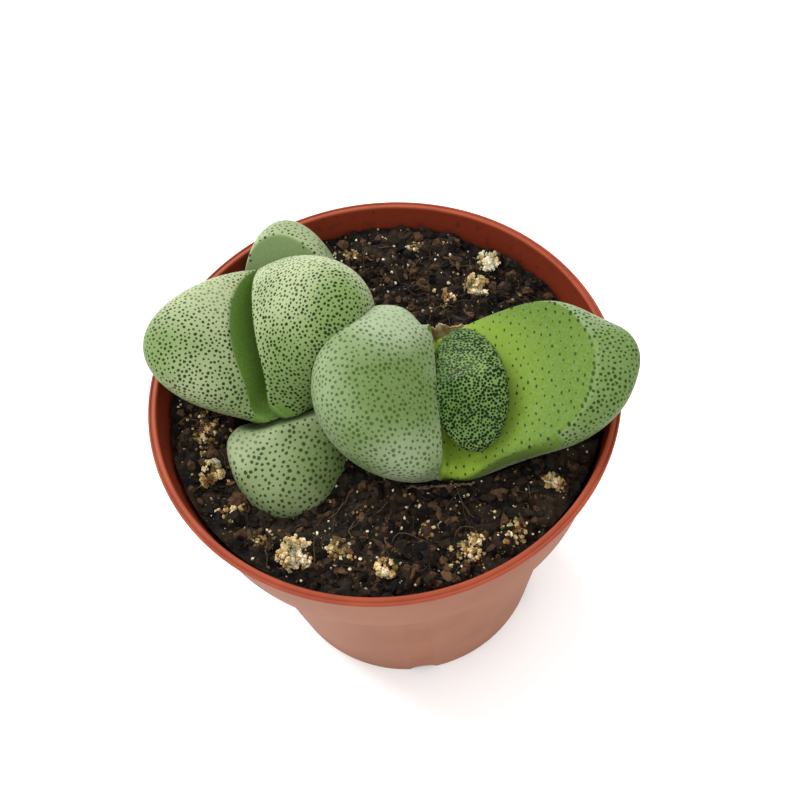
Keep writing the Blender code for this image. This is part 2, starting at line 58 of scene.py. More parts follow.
# Pot
POT_HEIGHT = 58.0
POT_RIM_RADIUS = 32.5
POT_LIP_WIDTH = 1.2
POT_BEAD_HEIGHT = 0.8
POT_COLLAR_HEIGHT = 14.0
POT_COLLAR_TOP_RADIUS = 32.0
POT_COLLAR_FOOT_RADIUS = 30.1
POT_BODY_TOP_RADIUS = 27.5
POT_BASE_RADIUS = 22.5
POT_WALL = 0.8
POT_FLOOR = 1.0
POT_SHELF = 1.4 * POT_WALL
POT_STEPS = 256
LIP_INNER_SLOPE = 0.4
LIP_GROOVE_IN = 0.4
LIP_GROOVE_WIDTH = 0.25
LIP_GROOVE_DEPTH = 0.2
# How far out and how far below the lip the groove's outer edge lies
LIP_GROOVE_EDGE = (0.05, 0.02)
BEAD_UNDERSIDE_STEP = 0.12
POT_ROUNDING = 0.35
# The largest share of a side that a rounded corner takes
POT_ROUNDING_LIMIT = 0.45
DRAIN_COUNT = 6
DRAIN_RADIUS = 2.2
DRAIN_DEPTH = 6.0
DRAIN_SIDES = 40
# How far down inside the lip's colour reaches, how far above the bead's underside the dusty film starts, and over
# what height it thickens
LIP_CLEAN_INSIDE = 0.25
DUST_START = 0.15
DUST_SPREAD = 0.3
# Edges sharper than this stay crisp where a shape is cut, in degrees
SHARP_EDGE = 42.0

# Soil
SOIL_LEVEL = 54.6
SOIL_RIM_DROP = 0.9
SOIL_ROUGHNESS = 0.9
# The broad and the fine slow waves: share, size and the slice of the noise that gives them
SOIL_WAVES = ((1.1, 12.1, 4.7), (0.8, 5.5, 9.1))
SOIL_SIDE_GAP = 0.45
SOIL_FLOOR_GAP = 0.3
SOIL_RINGS = 112
SOIL_STEPS = 576
SOIL_NEST_GAP = 0.12
# Crumb sizes of the soil's surface and how high each stands
SOIL_CRUMBS = ((3.1, 1.25), (1.5, 0.8), (0.7, 0.4))
SOIL_CRUMB_DROP = 0.7
SOIL_CRUMB_SEED = 31
# The crumb height that the sides' colour takes
SOIL_SIDE_CRUMB = -0.5
# Where the soil lies lower: place, radius and depth
SOIL_DIPS = ((-17.0, -16.5, 6.0, 2.1), (-24.0, -10.0, 4.0, 0.5), (-8.5, -14.5, 3.5, 1.1), (12.0, -18.5, 5.0, 0.6))

# Leaf pairs, as the solids have them. valley is the middle of the split, turn, lean and rise are its heading and
# tilts, and half_split, depth and end_rise are half its length, how far the base lies below it and how far its ends
# rise. waist narrows the base along the split, and fill lifts the valley all along and at the front end. rounding
# softens the whole section and end_rounded the front end of the near leaf, face_runs_out carries the bare face over
# the near leaf there, and a face_shown of 0 finishes the faces as the backs. Of each leaf, face, open and hollow are
# the inner face's width, how far it leans out and how deep it is hollowed, swell and swell_up are how far and how
# steeply the back stands off, foot is how far the base reaches, widen and sweep carry it along the split, and blunt
# is how late it narrows towards the ends.
PAIRS = {
    "left_old_pair": {
        "valley": (-10.4, 4.6, 50.6), "turn": 81.3, "lean": -0.8, "rise": -6.3,
        "half_split": 8.4, "depth": 5.7, "end_rise": 3.2, "waist": 0.2,
        "near": {"face": 22.9, "open": 50.0, "hollow": 0.5, "swell": 15.8, "swell_up": 34.9, "foot": 14.4,
                 "widen": -0.16, "sweep": 3.1, "blunt": 0.62},
        "far": {"face": 16.8, "open": 46.2, "hollow": 0.5, "swell": 15.3, "swell_up": 19.3, "foot": 23.4,
                "widen": 0.13, "sweep": 1.9, "blunt": 0.6},
    },
    "left_young_pair": {
        "valley": (-13.6, 8.8, 56.8), "turn": 2.7, "lean": -10.8, "rise": 12.5,
        "half_split": 11.5, "depth": 4.9, "end_rise": 3.6, "waist": 0.45, "fill": (0.0, 0.8),
        "near": {"face": 11.1, "open": -2.3, "hollow": 0.0, "swell": 28.0, "swell_up": 25.2, "foot": 17.6,
                 "widen": -0.04, "sweep": -1.2, "blunt": 1.1},
        "far": {"face": 10.5, "open": 25.1, "hollow": 0.2, "swell": 23.5, "swell_up": 62.1, "foot": 18.3,
                "widen": 0.01, "sweep": -0.9, "blunt": 1.22},
    },
    "right_old_pair": {
        "valley": (7.4, -4.8, 57.0), "turn": -3.8, "lean": 24.5, "rise": 10.1,
        "half_split": 10.2, "depth": 9.2, "end_rise": 3.3, "waist": 0.0, "fill": (0.0, 0.25),
        "end_rounded": 1.0, "face_runs_out": 16.0,
        "near": {"face": 22.7, "open": 38.7, "hollow": -0.36, "swell": 17.1, "swell_up": 66.9, "foot": 16.5,
                 "widen": 0.25, "sweep": 2.3, "blunt": 0.67},
        "far": {"face": 7.0, "open": 25.7, "hollow": -0.46, "swell": 23.9, "swell_up": 47.5, "foot": 23.6,
                "widen": 0.68, "sweep": 1.4, "blunt": 1.2},
    },
    "right_young_pair": {
        "valley": (11.2, -5.8, 64.5), "turn": 93.8, "lean": -6.6, "rise": -12.1,
        "half_split": 4.9, "depth": 4.6, "end_rise": 1.2, "waist": 0.18, "fill": (0.9, 0.0),
        "rounding": 0.9, "face_shown": 0.0,
        "near": {"face": 2.0, "open": 67.0, "hollow": 0.0, "swell": 11.3, "swell_up": 55.2, "foot": 10.2,
                 "widen": -0.1, "sweep": 0.0, "blunt": 0.83},
        "far": {"face": 1.8, "open": 68.1, "hollow": 0.0, "swell": 10.7, "swell_up": 49.9, "foot": 10.5,
                "widen": 0.12, "sweep": 1.3, "blunt": 0.68},
    },
}
# How late the back's fullness falls off from the margin to the base
BACK_FULLNESS = 1.5
# How far toward the front end, as an angle or as its sine, the valley's fill begins and is whole, and so for the
# face that runs out
FRONT_FILL_ANGLES = (35.0, 78.0)
FACE_RUN_OUT_ENDS = (0.8, 0.985)
# How softly the inner face meets the back, also where it runs out, and how wide the margin's change is
FACE_SOFTNESS = 0.25
FACE_RUN_OUT_SOFTNESS = 0.15
FACE_RUN_OUT_SOFT_ENDS = (0.8, 0.93)
FACE_CHANGE = (-0.4, 1.6)
# Shares of a bare place's radius where it begins and where it is whole
BARE_FADE = (1.25, 0.8)
END_ROUNDING = 1.7
ROUNDED_END_ANGLES = (28.0, 60.0)
# How quickly a point takes its own leaf's bluntness as its fullness grows
LEAF_OWN_SHARE = 2.0
# Which neighbours each pair is pressed flat against
GIVES_WAY_TO = {
    "left_old_pair": ("right_old_pair",),
    "left_young_pair": ("right_old_pair", "left_old_pair"),
    "right_young_pair": ("right_old_pair",),
}
PRESS_CLEARANCE = 0.35
IN_THE_SOIL = ("left_old_pair", "left_young_pair", "right_old_pair")
# Points round the section and rings from end to end of each skin
SKIN_STEPS = {
    "left_old_pair": (330, 150),
    "left_young_pair": (310, 170),
    "right_old_pair": (380, 190),
    "right_young_pair": (220, 150),
}
SECTION_SAMPLES = 500
HULL_STEPS = (60, 22)
# Slow unevenness of the skin: size of its waves and how far it stands out
SKIN_WAVES = ((7.5, 0.14), (2.6, 0.035))

# Where a skin is eased from the plain formula: place, radius and shift
EASED = {
    "left_old_pair": (
        ((-14.0, -6.8, 61.3), 7.0, (0.0, 1.7, -2.8)),
        ((-20.2, -3.0, 59.5), 4.6, (0.8, -0.5, -3.2)),
        ((-20.0, -9.5, 58.0), 4.5, (-0.9, 0.0, 0.0)),
        ((-15.5, -15.2, 54.0), 6.5, (0.0, -0.9, 0.0)),
        ((-20.4, -5.0, 56.0), 3.2, (-1.1, 0.6, 1.3)),
        ((-20.4, -0.2, 55.2), 3.4, (2.8, 0.6, -3.0)),
    ),
    "left_young_pair": (
        ((-13.6, -3.2, 57.8), 3.4, (0.1, -1.3, 0.2)),
        ((-15.5, -3.0, 59.2), 3.2, (-0.7, 0.0, 0.0)),
    ),
    "right_old_pair": (
        ((7.8, 6.2, 63.6), 3.4, (-0.65, -1.05, -0.3)),
        ((9.2, -15.2, 56.8), 3.0, (0.0, -1.4, -0.8)),
        ((6.2, -16.3, 58.0), 1.5, (0.0, 0.5, 0.2)),
        ((18.0, -10.1, 61.8), 0.4, (-0.12, -0.06, 0.24)),
        ((11.6, -14.9, 58.1), 0.9, (0.0, 0.3, -0.25)),
        ((7.3, -16.6, 56.8), 3.0, (-0.8, 1.3, 0.6)),
        ((29.6, 0.4, 67.8), 4.2, (0.0, -1.7, -1.0)),
        ((32.6, -6.4, 66.4), 3.0, (0.5, 0.0, 0.0)),
        ((17.0, -16.0, 56.5), 6.0, (0.0, 1.0, 0.4)),
        ((7.0, 4.9, 63.6), 2.6, (-0.3, -0.8, -0.4)),
    ),
    "right_young_pair": (((11.3, -13.0, 60.5), 4.0, (0.2, -0.6, -0.2)),),
}
# Where the skin is parted to the left and right: place, radius, width of the seam and amount
PARTED = {"left_young_pair": (((-14.8, -3.0, 59.2), 3.3, 0.6, 1.5),)}
# Places without dots at the front end of a split, where the two leaves are one: place and radius
BARE = {
    "left_old_pair": (),
    "left_young_pair": (((-12.6, -4.9, 56.6), 2.6), ((-15.2, -4.0, 57.6), 2.3), ((-14.2, -4.0, 58.9), 1.9),
                        ((-16.4, -3.6, 58.4), 1.5)),
    "right_old_pair": (),
    "right_young_pair": (),
}

# The pale band along each margin: how far inside its middle lies, half its width and its strength, for the near
# and the far leaf
EDGE_BANDS = {
    "left_old_pair": ((0.0, 0.22, 0.6), (0.3, 0.75, 0.8)),
    "left_young_pair": ((0.0, 0.2, 0.5), (0.0, 0.2, 0.4)),
    "right_old_pair": ((0.0, 0.2, 0.25), (0.0, 0.25, 0.9)),
    "right_young_pair": ((0.0, 0.2, 0.0), (0.0, 0.2, 0.0)),
}

# Dots in the skin: spacing and radius on the near leaf's back, the far leaf's back and the inner faces (None
# leaves a face bare), the spacing of the row along the margin and how far that row lies inside it, and how much
# longer a dot on a face is along the split
DOTS = {
    "left_old_pair": {"near": (0.6, 0.17), "far": (0.66, 0.215), "face": (2.6, 0.15), "row": None, "stretch": 1.15},
    "left_young_pair": {"near": (0.48, 0.185), "far": (0.5, 0.18), "face": None, "row": None, "stretch": 1.0},
    "right_old_pair": {"near": (0.53, 0.185), "far": (0.6, 0.205), "face": (1.0, 0.125), "row": (0.66, 0.45),
                       "stretch": 1.6},
    "right_young_pair": {"near": (0.34, 0.2), "far": (0.34, 0.2), "face": (0.34, 0.2), "row": None,
                         "stretch": 1.0},
}
DOT_SEED = 100
# Random places tried for each dot that could fit
DOT_TRIES = 7
DOT_SIZE_SPREAD = (0.62, 1.25)
# Half the width of the row along the margin, and of the strip round it that holds no other dots
DOT_ROW_HALF = 0.1
DOT_ROW_CLEAR_HALF = 0.55
# How far a face looks for its dot, and the way that stands for no dot at all, in radii
DOT_REACH = 1.1
NO_DOT = (9.0, 0.0, 0.0)

# The pale bloom: how thick it lies, its waves' size and height, and their seed
BLOOM_MIDDLE = 0.5
BLOOM_WAVES = (5.0, 0.22)
BLOOM_SEED = 17
# Patches where the bloom is thinner and the skin greener and darker, or paler where the amount is negative: place,
# radius and amount. Besides the bloom's own unevenness they hold painted shade on shaded sides, such as the front
# leaf's right side, the middle lobe's low side, the far end of the right head and the young pair's side under the
# right head, and painted light on lit tops.
BLOOM_LIGHT_AND_SHADE_PATCHES = {
    "left_old_pair": (
        (-9.5, 19.5, 64.0, 4.5, -0.3), (-7.6, -11.1, 57.3, 5.0, 0.6), (-15.3, -12.6, 58.0, 4.5, -0.05),
        (-20.5, -9.0, 58.0, 2.5, -0.4), (-20.8, -5.0, 57.2, 3.2, -0.8), (-17.0, -4.8, 57.6, 2.4, -0.5),
    ),
    "left_young_pair": (
        (-22.6, 13.5, 65.5, 5.0, -0.6), (-8.5, 11.0, 70.5, 5.0, -0.55), (-3.0, 3.5, 71.8, 5.0, 0.35),
        (-11.3, -2.9, 63.3, 5.5, 0.75), (-8.3, 1.2, 70.2, 5.0, 0.15), (-29.5, 4.0, 66.0, 4.0, 0.12),
        (-2.0, 9.0, 69.0, 3.0, -0.5),
    ),
    "right_old_pair": (
        (1.4, 3.5, 68.8, 5.5, -0.8), (-0.9, -7.5, 69.2, 8.0, 0.34), (4.0, -7.0, 68.0, 5.0, 0.25),
        (0.1, -16.5, 62.5, 5.0, -0.1), (30.0, -9.0, 66.0, 8.0, 0.85), (28.6, -1.6, 68.0, 3.5, -0.2),
    ),
    "right_young_pair": ((12.5, -5.0, 66.5, 4.0, -0.35), (7.6, -6.5, 64.0, 3.5, 0.7)),
}

# The finish of each skin, in colours as the eye sees them. The pale bloom colour is the wax bloom and also paints
# light on lit tops. far_dots is how strong the far leaf's dots are, dot_soft and dot_uneven are how soft and how
# uneven every dot's edge is, and bloom_share is how much of the bloom shows
LEAF_LOOKS = {
    "left_old_pair": {
        "name": "old_grey_leaf_skin", "skin": (88, 106, 60), "bloom_and_painted_light": (138, 150, 112), "face": (102, 121, 77),
        "valley": (84, 106, 54), "dot": (30, 46, 6), "far_dots": 0.92, "dot_soft": 0.22, "dot_uneven": 1.3,
        "bloom_share": 1.0,
    },
    "left_young_pair": {
        "name": "dotted_grey_leaf_skin", "skin": (100, 122, 68), "bloom_and_painted_light": (148, 158, 120), "face": (84, 116, 40),
        "valley": (62, 92, 26), "dot": (24, 42, 0), "far_dots": 0.96, "dot_soft": 0.16, "dot_uneven": 1.3,
        "bloom_share": 1.0,
    },
    "right_old_pair": {
        "name": "lime_faced_leaf_skin", "skin": (90, 112, 58), "bloom_and_painted_light": (142, 156, 124), "face": (82, 108, 32),
        "valley": (124, 152, 42), "dot": (34, 56, 8), "far_dots": 0.74, "dot_soft": 0.3, "dot_uneven": 1.3,
        "bloom_share": 1.0,
    },
    "right_young_pair": {
        "name": "young_dark_leaf_skin", "skin": (68, 96, 40), "bloom_and_painted_light": (108, 132, 76), "face": (68, 96, 40),
        "valley": (68, 96, 40), "dot": (6, 24, 0), "far_dots": 1.0, "dot_soft": 0.16, "dot_uneven": 0.7,
        "bloom_share": 0.8,
    },
}

# Dried leaf remains round the right head: heading, spread, heights of the lower and upper edge, how ragged the
# upper one is, and the pale and the dark colour
SHEATHS = {
    "dried_sheath_back": {"heading": 76.0, "spread": 44.0, "low": 55.2, "high": 58.9, "ragged": 0.35,
                          "pale": (190, 166, 118), "dark": (134, 98, 60)},
    "dried_sheath_front": {"heading": 262.0, "spread": 46.0, "low": 53.2, "high": 56.0, "ragged": 0.8,
                           "pale": (104, 78, 52), "dark": (58, 42, 29)},
}
SHEATH_THICKNESS = 0.16
SHEATH_STAND_OFF = 0.35
SHEATH_FLARE = 0.5
SHEATH_END_DROP = 0.35
SHEATH_STEPS = (90, 26)
# Half a strip's length and its height on the waves that fray its edge and crinkle it
SHEATH_WAVE_SPAN = (9.0, 3.0)
# Size, seed and height of the waves along the ragged edge, and of those that crinkle the strip
SHEATH_FRAYS = ((1.0, 5, 1.0), (0.35, 6, 0.5))
SHEATH_CRINKLE = (0.8, 8, 0.22)
# How much of the crinkles the low edge has
SHEATH_LOW_CRINKLE = 0.4
# A flat of the head counts as faced where its direction agrees by more than this
LEAST_FACING = 0.02

# Clusters of grit grains: place, radius, most grains, how pale they are and seed
GRIT_CLUSTERS = {
    "grit_lump_front": (-14.0, -22.4, 2.55, 290, 0.62, 3),
    "grit_lump_back": (18.0, 20.6, 1.8, 140, 0.72, 11),
    "grit_lump_back_right": (15.6, 15.9, 2.0, 140, 0.52, 27),
    "grit_lump_front_middle": (-2.6, -26.2, 1.5, 120, 0.45, 38),
    "grit_lump_front_right": (20.6, -17.6, 1.7, 120, 0.42, 41),
    "grit_lump_left": (-25.0, -8.6, 2.0, 150, 0.48, 56),
}
# Patches of looser grains: place, radius and number
GRAIN_PATCHES = (
    (8.4, -25.3, 2.2, 110), (-8.4, -22.6, 1.6, 60), (-25.1, -2.6, 2.4, 90), (3.4, -21.6, 1.4, 30),
    (14.5, -23.0, 1.8, 50), (10.8, 15.5, 1.4, 30), (7.4, 24.7, 1.3, 24), (-2.5, 24.8, 1.2, 20),
    (-22.0, -14.5, 1.6, 40), (-18.5, -19.5, 1.2, 24),
)
GRIT_SQUASH = 0.72
GRIT_RISE = 0.35
# A grain's share of the way out from its cluster's middle is a random number to this power, and gaps open where the
# waves are below this value
GRIT_CROWDING = 0.45
GRIT_GAPS = 0.08
# Sizes of the waves that open gaps and that change the tone, as shares of the cluster's radius
GRIT_WAVES = (0.5, 0.8)
# How far the tone of a cluster's grains wanders from place to place and from grain to grain
GRIT_TONE_SPREAD = (0.45, 0.12)
# Half sizes of single grains, strewn and in patches or clusters, and how far each of their three sides may differ
STREWN_GRAIN_RADII = (0.07, 0.24)
STREWN_GRAIN_SIDES = (0.75, 1.15)
GRAIN_RADII = (0.12, 0.42)
PATCH_GRAIN_SIDES = (0.7, 1.15)
CLUSTER_GRAIN_SIDES = (0.65, 1.15)
CLUSTER_LUMPINESS = 0.4
# A patch's bell curve as a share of its radius, and its grains' lift off the soil and room round the heads
PATCH_SPREAD = 0.5
PATCH_LIFT = 0.1
PATCH_ROOM = 0.3
# Middle and spread of the tone of the grains in a patch
PATCH_TONES = (0.38, 0.24)

# Bits strewn over the soil: number, how far out they lie, how far they sink in, the room that they leave round the
# heads, how far they tilt as a share of a quarter turn, and how lumpy they are
STREWN = {
    "peat_crumbs": {"count": 2600, "edge": 29.6, "sink": 0.05, "room": 0.3, "tilt": 1.0, "lumpiness": 0.38},
    "bark_chips": {"count": 330, "edge": 28.8, "sink": -0.15, "room": 0.7, "tilt": 0.45, "lumpiness": 0.25},
    "pale_grains": {"count": 620, "edge": 29.6, "sink": -0.12, "room": 0.25, "tilt": 1.0, "lumpiness": 0.35},
}
STREWN_SEED = 7
# Crumbs: the least half size, how much more the largest have, and how far their three sides differ
CRUMB_LEAST = 0.12
CRUMB_MORE = 0.85
CRUMB_SIDES = (0.6, 1.1)
# Chips: half lengths, and the width and the thickness as shares of the length
CHIP_LENGTHS = (0.3, 1.1)
CHIP_WIDTHS = (0.3, 0.6)
CHIP_THICKNESSES = (0.08, 0.2)

# Fibres: where they start, as above, then lengths, radii, how much they curl from step to step and how they arch
FIBRES = {
    "peat_fibres": {"count": 300, "edge": 27.5, "sink": 0.0, "room": 0.6, "lengths": (2.0, 7.0),
                    "radii": (0.035, 0.075), "curl": 0.28, "arch": 0.7},
    "peat_rootlets": {"count": 26, "edge": 27.5, "sink": 0.0, "room": 0.6, "lengths": (2.5, 5.0),
                      "radii": (0.07, 0.11), "curl": 0.24, "arch": 0.5},
}
FIBRE_SEED = 19
FIBRE_STEPS = 13
FIBRE_SIDES = 5
# A fibre that reaches farther out than this, or nearer to a head, is left out
FIBRE_END = 30.0
FIBRE_ROOM = 0.15
# A fibre lies this far above the soil's slow top and follows this share of its crumbs, but no deeper hollow than this
FIBRE_RISE = 0.25
FIBRE_FOLLOWS = 0.45
FIBRE_HOLLOW = -0.3
FIBRE_LEAST_ARCH = 0.05
# Its ends have this share of its radius, and it thickens from them by this power
FIBRE_END_SHARE = 0.25
FIBRE_TAPER = 0.4

# Tones that loose bits go through as their own number rises, as the eye sees them, then roughness, relief and the
# colour of stained patches
GRAIN_LOOKS = {
    "peat_crumb": {"tones": ((11, 9, 7), (24, 19, 13), (42, 33, 23), (78, 56, 38)), "roughness": 0.92,
                   "relief": 0.1, "stain": None},
    "bark_chip": {"tones": ((20, 15, 10), (38, 29, 20), (54, 40, 28), (88, 63, 42)), "roughness": 0.85,
                  "relief": 0.12, "stain": None},
    "cream_grit_grain": {"tones": ((78, 56, 30), (146, 112, 62), (206, 180, 128), (234, 224, 194)),
                         "roughness": 0.8, "relief": 0.08, "stain": (92, 98, 56)},
    "peat_fibre": {"tones": ((28, 21, 15), (50, 38, 27), (88, 71, 51), (42, 32, 23)), "roughness": 0.8,
                   "relief": 0.03, "stain": None},
}

# Camera, fitted to the pot's rim in the photograph's frame: focal length in pixels of the 804 pixel side
CAMERA_PLACE = (2.06, -78.41, 179.11)
CAMERA_ELEVATION = 58.389
CAMERA_ROLL = 7.614
CAMERA_FOCAL_PIXELS = 1050.0
FRAME_HEIGHT_PIXELS = 804.0
SENSOR_WIDTH = 36.0
CAMERA_CLIP_START = 5.0

# Stage: half the floor's width, the strength of the light all round, and the lamps in metres and watts
FLOOR_HALF = 2000.0
STUDIO_LIGHT = 1.3
LAMP_AIM = (0.0, 0.0, 0.05)
LAMPS = {
    "upper_left_lamp": {"place": (-0.42, 0.55, 0.7), "size": 0.6, "power": 9.0},
    "front_lamp": {"place": (0.25, -0.7, 0.7), "size": 0.7, "power": 1.0},
}


# ---------------------------------------------------------------- plain helpers

def paint(red, green, blue):
    """A colour given as the eye sees it, from 0 to 255, as the linear light that a shader takes."""
    values = np.array([red, green, blue]) / 255.0
    linear = np.where(values <= 0.04045, values / 12.92, ((values + 0.055) / 1.055) ** 2.4)
    return (*linear.tolist(), 1.0)


def turn_matrix(degrees, axis):
    """A 3 by 3 turn about an axis, as an array."""
    return np.array(Matrix.Rotation(math.radians(degrees), 3, axis))


def lattice_values(cells, seed):
    """A fixed random number from -1 to 1 at each whole-numbered place: the fraction of a large sine."""
    wave = np.sin(cells @ np.array(LATTICE_STRIDES) + LATTICE_SEED_STRIDE * seed) * LATTICE_SCALE
    return 2.0 * (wave - np.floor(wave)) - 1.0


def rough(places, size, seed):
    """Smooth random waves: random values on a cubic lattice, blended between its corners by 3t^2 - 2t^3."""
    scaled = places / size
    cells = np.floor(scaled)
    share = scaled - cells
    share = share * share * (3.0 - 2.0 * share)
    total = np.zeros(places.shape[:-1])
    for corner in itertools.product((0.0, 1.0), repeat=3):
        corner = np.array(corner)
        weight = np.prod(np.where(corner > 0.0, share, 1.0 - share), axis=-1)
        total += weight * lattice_values(cells + corner, seed)
    return total


def smooth_step(value, low, high):
    """0 below low, 1 above high, and 3t^2 - 2t^3 between them."""
    t = np.clip((value - low) / (high - low), 0.0, 1.0)
    return t * t * (3.0 - 2.0 * t)


def bezier(points, t):
    """The Bezier curve of a few control points: neighbours are blended by t until one point is left."""
    while len(points) > 1:
        points = [a * (1.0 - t) + b * t for a, b in zip(points, points[1:])]
    return points[0]


def grid_quads(rows, columns, round_columns=True):
    """The four corners of each face between neighbouring rows and columns of a grid of points."""
    row, column = np.meshgrid(np.arange(rows - 1), np.arange(columns if round_columns else columns - 1),
                              indexing="ij")
    beside = (column + 1) % columns
    corners = [row * columns + column, row * columns + beside,
               (row + 1) * columns + beside, (row + 1) * columns + column]
    return np.stack(corners, axis=-1).reshape(-1, 4)


def fan(ring, pole):
    """Triangles from a closed ring of points to one pole."""
    return np.stack([np.full(len(ring), pole), np.roll(ring, -1), ring], axis=-1)


def closed_faces(rings, around):
    """Faces of a stack of closed rings of points, with a pole beyond each end that comes after the rings."""
    count = rings * around
    return [grid_quads(rings, around), fan(np.arange(around), count),
            fan(np.arange(count - around, count), count + 1)[:, ::-1]]


def level_rings(radius, height, heading):
    """Points of level circles about the vertical: a radius and a height for each, at the same headings."""
    return np.stack([radius[:, None] * np.cos(heading), radius[:, None] * np.sin(heading),
                     height[:, None] + 0.0 * heading], axis=-1).reshape(-1, 3)


def inside_out(points, faces):
    """Whether a closed shape's faces look inward: its signed volume is then negative."""
    volume = 0.0
    for group in faces:
        for last in range(2, group.shape[1]):
            a, b, c = points[group[:, 0]], points[group[:, last - 1]], points[group[:, last]]
            volume += np.einsum("ij,ij->", a, np.cross(b, c))
    return volume < 0.0


def put_object(name, points, faces, attributes=None, closed=True):
    """A mesh object from an array of points in millimetres and arrays of faces, with values on its points."""
    if closed and inside_out(points, faces):
        faces = [group[:, ::-1] for group in faces]
    mesh = bpy.data.meshes.new(name)
    mesh.vertices.add(len(points))
    mesh.vertices.foreach_set("co", np.ascontiguousarray(points * MM, dtype=np.float32).ravel())
    corners = np.concatenate([group.ravel() for group in faces]).astype(np.int32)
    counts = np.concatenate([np.full(len(group), group.shape[1]) for group in faces])
    mesh.loops.add(len(corners))
    mesh.loops.foreach_set("vertex_index", corners)
    mesh.polygons.add(len(counts))
    mesh.polygons.foreach_set("loop_start", np.concatenate([[0], np.cumsum(counts)[:-1]]).astype(np.int32))
    mesh.update(calc_edges=True)
    mesh.shade_smooth()
    thing = bpy.data.objects.new(name, mesh)
    bpy.context.scene.collection.objects.link(thing)
    for key, values in (attributes or {}).items():
        put_values(mesh, key, values)
    return thing


def put_values(mesh, key, values, domain="POINT"):
    """One number or one vector on each point, or on each face corner, of a mesh."""
    vector = values.ndim == 2
    layer = mesh.attributes.new(key, "FLOAT_VECTOR" if vector else "FLOAT", domain)
    layer.data.foreach_set("vector" if vector else "value", np.ascontiguousarray(values, dtype=np.float32).ravel())


def take_values(mesh, key):
    """The numbers that a mesh holds on its points."""
    values = np.zeros(len(mesh.vertices), dtype=np.float32)
    mesh.attributes[key].data.foreach_get("value", values)
    return values.astype(float)


def take_points(mesh):
    """A mesh's points in millimetres."""
    points = np.zeros(3 * len(mesh.vertices), dtype=np.float32)
    mesh.vertices.foreach_get("co", points)
    return points.reshape(-1, 3).astype(float) / MM


def take_corners(mesh):
    """The point at each face corner of a mesh, and how many corners each face has."""
    corners = np.zeros(len(mesh.loops), dtype=np.int32)
    mesh.loops.foreach_get("vertex_index", corners)
    counts = np.zeros(len(mesh.polygons), dtype=np.int32)
    mesh.polygons.foreach_get("loop_total", counts)
    return corners, counts


def carve(thing, cutters):
    """Takes the cutters' shapes out of an object for good, and removes the cutters."""
    for cutter in cutters:
        modifier = thing.modifiers.new("Cut " + cutter.name, "BOOLEAN")
        modifier.operation = "DIFFERENCE"
        modifier.solver = "EXACT"
        modifier.object = cutter
    graph = bpy.context.evaluated_depsgraph_get()
    done = bpy.data.meshes.new_from_object(thing.evaluated_get(graph), preserve_all_data_layers=True,
                                           depsgraph=graph)
    thing.modifiers.clear()
    old, thing.data = thing.data, done
    bpy.data.meshes.remove(old)
    done.name = thing.name
    for cutter in cutters:
        bpy.data.objects.remove(cutter)
    done.shade_smooth()
    done.set_sharp_from_angle(angle=math.radians(SHARP_EDGE))


def finish_piece(thing, finish, slot, *nodes):
    """Gives a piece its finish, its body, and the solids that it stands for; the slot is not used."""
    thing.data.materials.clear()
    thing.data.materials.append(finish)
    if nodes:
        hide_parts(*nodes)
    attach(thing, "root")
    return thing


# ---------------------------------------------------------------- finishes

class Finish:
    """A node material in the making; each method adds one step and hands back its result."""

    def __init__(self, name, **sockets):
        self.material = bpy.data.materials.new(name)
        self.material.use_nodes = True
        self.tree = self.material.node_tree
        self.shader = self.tree.nodes["Principled BSDF"]
        for key, value in sockets.items():
            self.shader.inputs[key.replace("_", " ")].default_value = value
        self.place = self.add("TexCoord").outputs["Object"]

    def add(self, kind, inputs=(), **settings):
        """A node with its settings and with numbers or results on its inputs."""
        node = self.tree.nodes.new("ShaderNode" + kind)
        for key, value in settings.items():
            setattr(node, key, value)
        for key, value in dict(inputs).items():
            if isinstance(value, bpy.types.NodeSocket):
                self.tree.links.new(value, node.inputs[key])
            else:
                node.inputs[key].default_value = value
        return node

    def value(self, name, output="Fac"):
        """The mesh's own number of that name, or its vector."""
        return self.add("Attribute", attribute_name=name).outputs[output]

    def sum(self, a, b):
        """One number plus another."""
        return self.add("Math", {0: a, 1: b}, operation="ADD").outputs[0]

    def product(self, a, b):
        """One number times another."""
        return self.add("Math", {0: a, 1: b}, operation="MULTIPLY").outputs[0]

    def step(self, value, low, high):
        """Smoothly from 0 at low to 1 at high."""
        inputs = {"Value": value, "From Min": low, "From Max": high, "To Min": 0.0, "To Max": 1.0}
        if high < low:
            inputs.update({"From Min": high, "From Max": low, "To Min": 1.0, "To Max": 0.0})
        return self.add("MapRange", inputs, interpolation_type="SMOOTHSTEP").outputs["Result"]

    def waves(self, size, detail=3.0, seed=0.0, squeeze=1.0):
        """Random waves of a size in millimetres, drawn out upwards where the height is squeezed."""
        moved = self.add("Mapping", {"Vector": self.place, "Location": (seed, 0.4 * seed, 0.7 * seed),
                                     "Scale": (1.0, 1.0, squeeze)}).outputs[0]
        return self.add("TexNoise", {"Vector": moved, "Scale": 1.0 / (size * MM), "Detail": detail}).outputs["Fac"]

    def mix(self, share, first, second):
        """The first colour at share 0 and the second at share 1."""
        return self.add("Mix", {0: share, 6: first, 7: second}, data_type="RGBA").outputs[2]

    def veil(self, color, other, result, low, high, strength):
        """Another colour over a colour, up to a strength, where a result goes from low to high."""
        return self.mix(self.product(self.step(result, low, high), strength), color, other)

    def color(self, result):
        """The finish's own colour."""
        self.tree.links.new(result, self.shader.inputs["Base Color"])

    def roughness(self, result, low, high):
        """Roughness from low where the result is 0 to high where it is 1."""
        spread = self.add("MapRange", {"Value": result, "To Min": low, "To Max": high}).outputs["Result"]
        self.tree.links.new(spread, self.shader.inputs["Roughness"])

    def bump(self, height, depth, below=None):
        """Relief of a depth in millimetres, over any relief below it."""
        inputs = {"Height": height, "Distance": depth * MM, "Strength": 1.0}
        if below is not None:
            inputs["Normal"] = below
        result = self.add("Bump", inputs).outputs["Normal"]
        self.tree.links.new(result, self.shader.inputs["Normal"])
        return result


